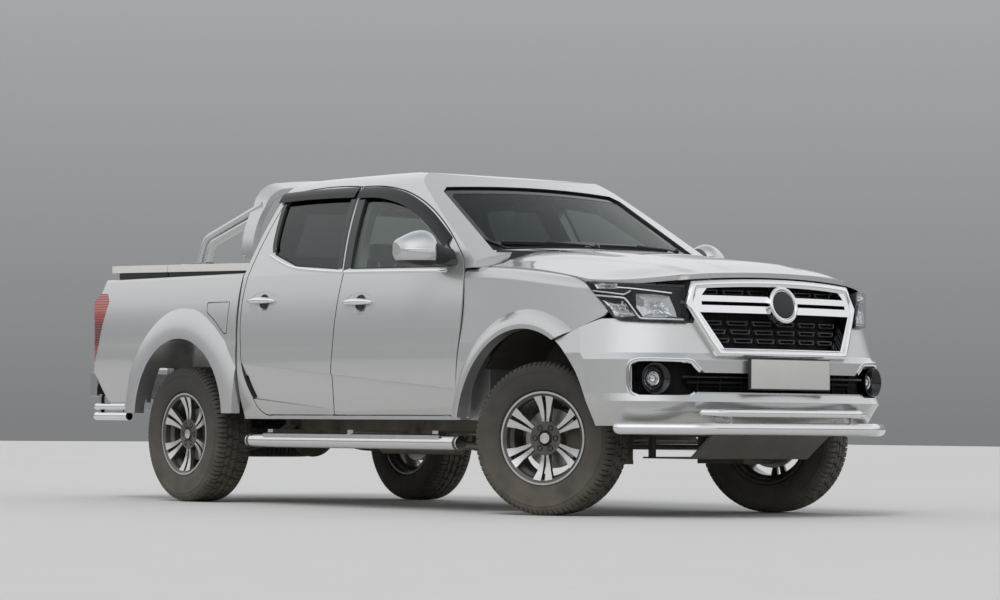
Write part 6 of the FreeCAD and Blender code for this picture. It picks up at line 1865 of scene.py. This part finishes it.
def inflated(mesh, voxel, cap):
    """Remeshes a pad evenly, blows it up as cloth and keeps every point within a cap of its start."""
    pad = bpy.data.objects.new("pad_work", mesh)
    bpy.context.scene.collection.objects.link(pad)
    remesh = pad.modifiers.new("even", "REMESH")
    remesh.mode = "VOXEL"
    remesh.voxel_size = voxel
    even = bare_mesh(pad)
    pad.modifiers.clear()
    pad.data = even
    start = [vertex.co.copy() for vertex in even.vertices]
    cloth_sim = pad.modifiers.new("fill", "CLOTH")
    cloth_sim.settings.use_pressure = True
    cloth_sim.settings.uniform_pressure_force = 4.0
    cloth_sim.settings.quality = 4
    cloth_sim.settings.effector_weights.gravity = 0.0
    for frame_number in range(1, 21):
        bpy.context.scene.frame_set(frame_number)
    filled = bare_mesh(pad)
    pad.modifiers.clear()
    bpy.context.scene.frame_set(1)
    for vertex, blown, before in zip(even.vertices, filled.vertices, start):
        step = blown.co - before
        vertex.co = before + step * (min(step.length, cap) / max(step.length, 1e-9))
    bpy.data.meshes.remove(filled)
    smooth = pad.modifiers.new("smooth", "SUBSURF")
    smooth.levels = 1
    finished = bare_mesh(pad)
    bpy.data.objects.remove(pad)
    points = [vertex.co.copy() for vertex in finished.vertices]
    faces = [tuple(face.vertices) for face in finished.polygons]
    return points, faces


def pad_shape(profile, low_y, high_y, rounding, voxel=0.011, cap=0.016):
    block = pad_block(profile, low_y, high_y, rounding, 0.014)
    mesh = bpy.data.meshes.new("pad_start")
    block.to_mesh(mesh)
    block.free()
    return inflated(mesh, voxel, cap)


def pinched(shape, lines, axis, width, depth, middle):
    """Presses sewn channels into a pad: lines are places along an axis, middle is a point inside it."""
    points, faces = shape
    pressed = []
    for point in points:
        pull = sum(math.exp(-((point[axis] - line) / width) ** 2) for line in lines)
        towards = Vector(middle) - point
        towards[axis] = 0.0
        pressed.append(point + towards.normalized() * depth * min(pull, 1.0))
    return pressed, faces


def slid(shape, y):
    points, faces = shape
    return [point + Vector((0, y, 0)) for point in points], faces


SEAT_Y = 0.380
CUSHION = [(-0.080, 0.660), (0.430, 0.690), (0.458, 0.712), (0.456, 0.748), (0.430, 0.780), (-0.060, 0.740)]
SEAT_BACK = [(-0.110, 0.744), (0.000, 0.744), (-0.150, 1.270), (-0.188, 1.298), (-0.240, 1.270),
             (-0.130, 0.800)]
HEADREST = [(-0.250, 1.316), (-0.170, 1.310), (-0.185, 1.450), (-0.262, 1.440)]
BENCH = [(-0.720, 0.660), (-0.360, 0.664), (-0.342, 0.700), (-0.370, 0.740), (-0.700, 0.730)]
BENCH_BACK = [(-0.780, 0.738), (-0.664, 0.744), (-0.720, 1.240), (-0.800, 1.230)]

cushion = pinched(pad_shape(CUSHION, -0.250, 0.250, 0.030), (-0.155, 0.155), 1, 0.010, 0.008,
                  (0.18, 0, 0.70))
back = pinched(pad_shape(SEAT_BACK, -0.236, 0.236, 0.026), (-0.145, 0.145), 1, 0.010, 0.008, (-0.12, 0, 1.0))
rest = pad_shape(HEADREST, -0.128, 0.128, 0.024, 0.009, 0.010)
bench = pinched(pad_shape(BENCH, -0.684, 0.684, 0.018, 0.014), (-0.235, 0.235), 1, 0.010, 0.007,
                (-0.54, 0, 0.69))
bench_back = pinched(pad_shape(BENCH_BACK, -0.684, 0.684, 0.024, 0.014), (-0.235, 0.235), 1, 0.010, 0.007,
                     (-0.74, 0, 1.0))
for side, sign in SIDES:
    for part, shape in (("cushion", cushion), ("back", back), ("rest", rest)):
        replaced = ("seats",) if side == "right" and part == "cushion" else ()
        pad = piece("seat_" + part + "_" + side, slid(shape, sign * SEAT_Y), cloth, "truck", "fabric",
                    replaces=replaced, smooth=60.0)
    y = sign * SEAT_Y
    foot = bar((0.000, y - 0.170, 0.5265), (0.380, y + 0.170, 0.672), 0.010)
    posts = [turned([(-0.050, 0.001), (-0.050, 0.006), (0.060, 0.006), (0.060, 0.001)],
                    Vector((-0.218, y + step, 1.292)), Vector((-0.10, 0, 1.0)), 12)
             for step in (-0.055, 0.055)]
    piece("seat_base_" + side, foot, cabin_plastic, "truck", "cabin")
    piece("seat_posts_" + side, joined(posts), chrome, "truck", "chrome")
for name, shape in (("bench_cushion", bench), ("bench_back", bench_back)):
    pad = piece(name, shape, cloth, "truck", "fabric", smooth=60.0)
bench_base = [bar((-0.700, -0.640, 0.5265), (-0.400, -0.180, 0.668), 0.008),
              bar((-0.700, 0.180, 0.5265), (-0.400, 0.640, 0.668), 0.008)]
piece("bench_base", joined(bench_base), cabin_plastic, "truck", "cabin")

# Stage, light and camera
floor_material = finish("floor_pale", (0.56, 0.55, 0.53), 0.9, (3.0, 0.02, 0.02, 0.0))
floor_mesh = bpy.data.meshes.new("floor")
SPAN = 60.0
floor_mesh.from_pydata([(-SPAN, -SPAN, 0), (SPAN, -SPAN, 0), (SPAN, SPAN, 0), (-SPAN, SPAN, 0)], [],
                       [(0, 1, 2, 3)])
floor_mesh.materials.append(floor_material)
floor = bpy.data.objects.new("floor", floor_mesh)
bpy.context.scene.collection.objects.link(floor)

KEY_DIRECTION = (0.3645, -0.5226, 0.7708)  # where the sun below stands


def studio_sky():
    """Soft overhead light that falls off to a darker horizon, for bright metal and paint to show."""
    world = bpy.data.worlds.new("studio")
    world.use_nodes = True
    tree = world.node_tree
    split = new_node(tree, "ShaderNodeSeparateXYZ")
    feed(tree, split.inputs[0], new_node(tree, "ShaderNodeTexCoord").outputs["Generated"])
    ramp = new_node(tree, "ShaderNodeValToRGB")
    feed(tree, ramp.inputs[0], spread(tree, split.outputs["Z"], -0.05, 1.0, 0.0, 1.0))
    bands = ((0.0, (0.17, 0.175, 0.18, 1)), (0.05, (0.21, 0.215, 0.22, 1)), (0.18, (0.40, 0.41, 0.43, 1)),
             (0.24, (0.80, 0.82, 0.84, 1)), (0.52, (0.92, 0.93, 0.94, 1)), (0.80, (0.66, 0.69, 0.72, 1)),
             (1.0, (0.42, 0.45, 0.50, 1)))
    set_bands(ramp, bands)
    feed(tree, tree.nodes["Background"].inputs["Color"], ramp.outputs["Color"])
    toward_key = new_node(tree, "ShaderNodeVectorMath", operation="DOT_PRODUCT")
    feed(tree, toward_key.inputs[0], split.inputs[0].links[0].from_socket)
    feed(tree, toward_key.inputs[1], KEY_DIRECTION)
    glow_strength = spread(tree, toward_key.outputs["Value"], 0.82, 0.97, 1.0, 1.6)
    feed(tree, tree.nodes["Background"].inputs["Strength"], glow_strength)
    return world


bpy.context.scene.world = studio_sky()

sun = bpy.data.lights.new("key", "SUN")
sun.energy = 1.15
sun.angle = math.radians(20.0)
sun_object = bpy.data.objects.new("key", sun)
sun_object.rotation_euler = (math.radians(38.0), math.radians(12.0), math.radians(20.0))
bpy.context.scene.collection.objects.link(sun_object)
sun_object.visible_glossy = False
sun_object.visible_transmission = False

CAMERA_PLACE = Vector((15.2178, -11.6446, 0.4351))
CAMERA_TARGET = Vector((0.30107, -0.000018, 1.12484))
CAMERA_ROLL = 0.46601
FOCAL_MM = 125.57
camera_data = bpy.data.cameras.new("photo_camera")
camera_data.sensor_width = 36.0
camera_data.lens = FOCAL_MM
camera_data.clip_end = 500.0
camera = bpy.data.objects.new("photo_camera", camera_data)
bpy.context.scene.collection.objects.link(camera)
aim = (CAMERA_TARGET - CAMERA_PLACE).to_track_quat("-Z", "Y").to_matrix().to_4x4()
roll = Matrix.Rotation(math.radians(CAMERA_ROLL), 4, "Z")
camera.matrix_world = Matrix.Translation(CAMERA_PLACE) @ aim @ roll
bpy.context.scene.camera = camera
bpy.context.scene.view_settings.view_transform = "Standard"
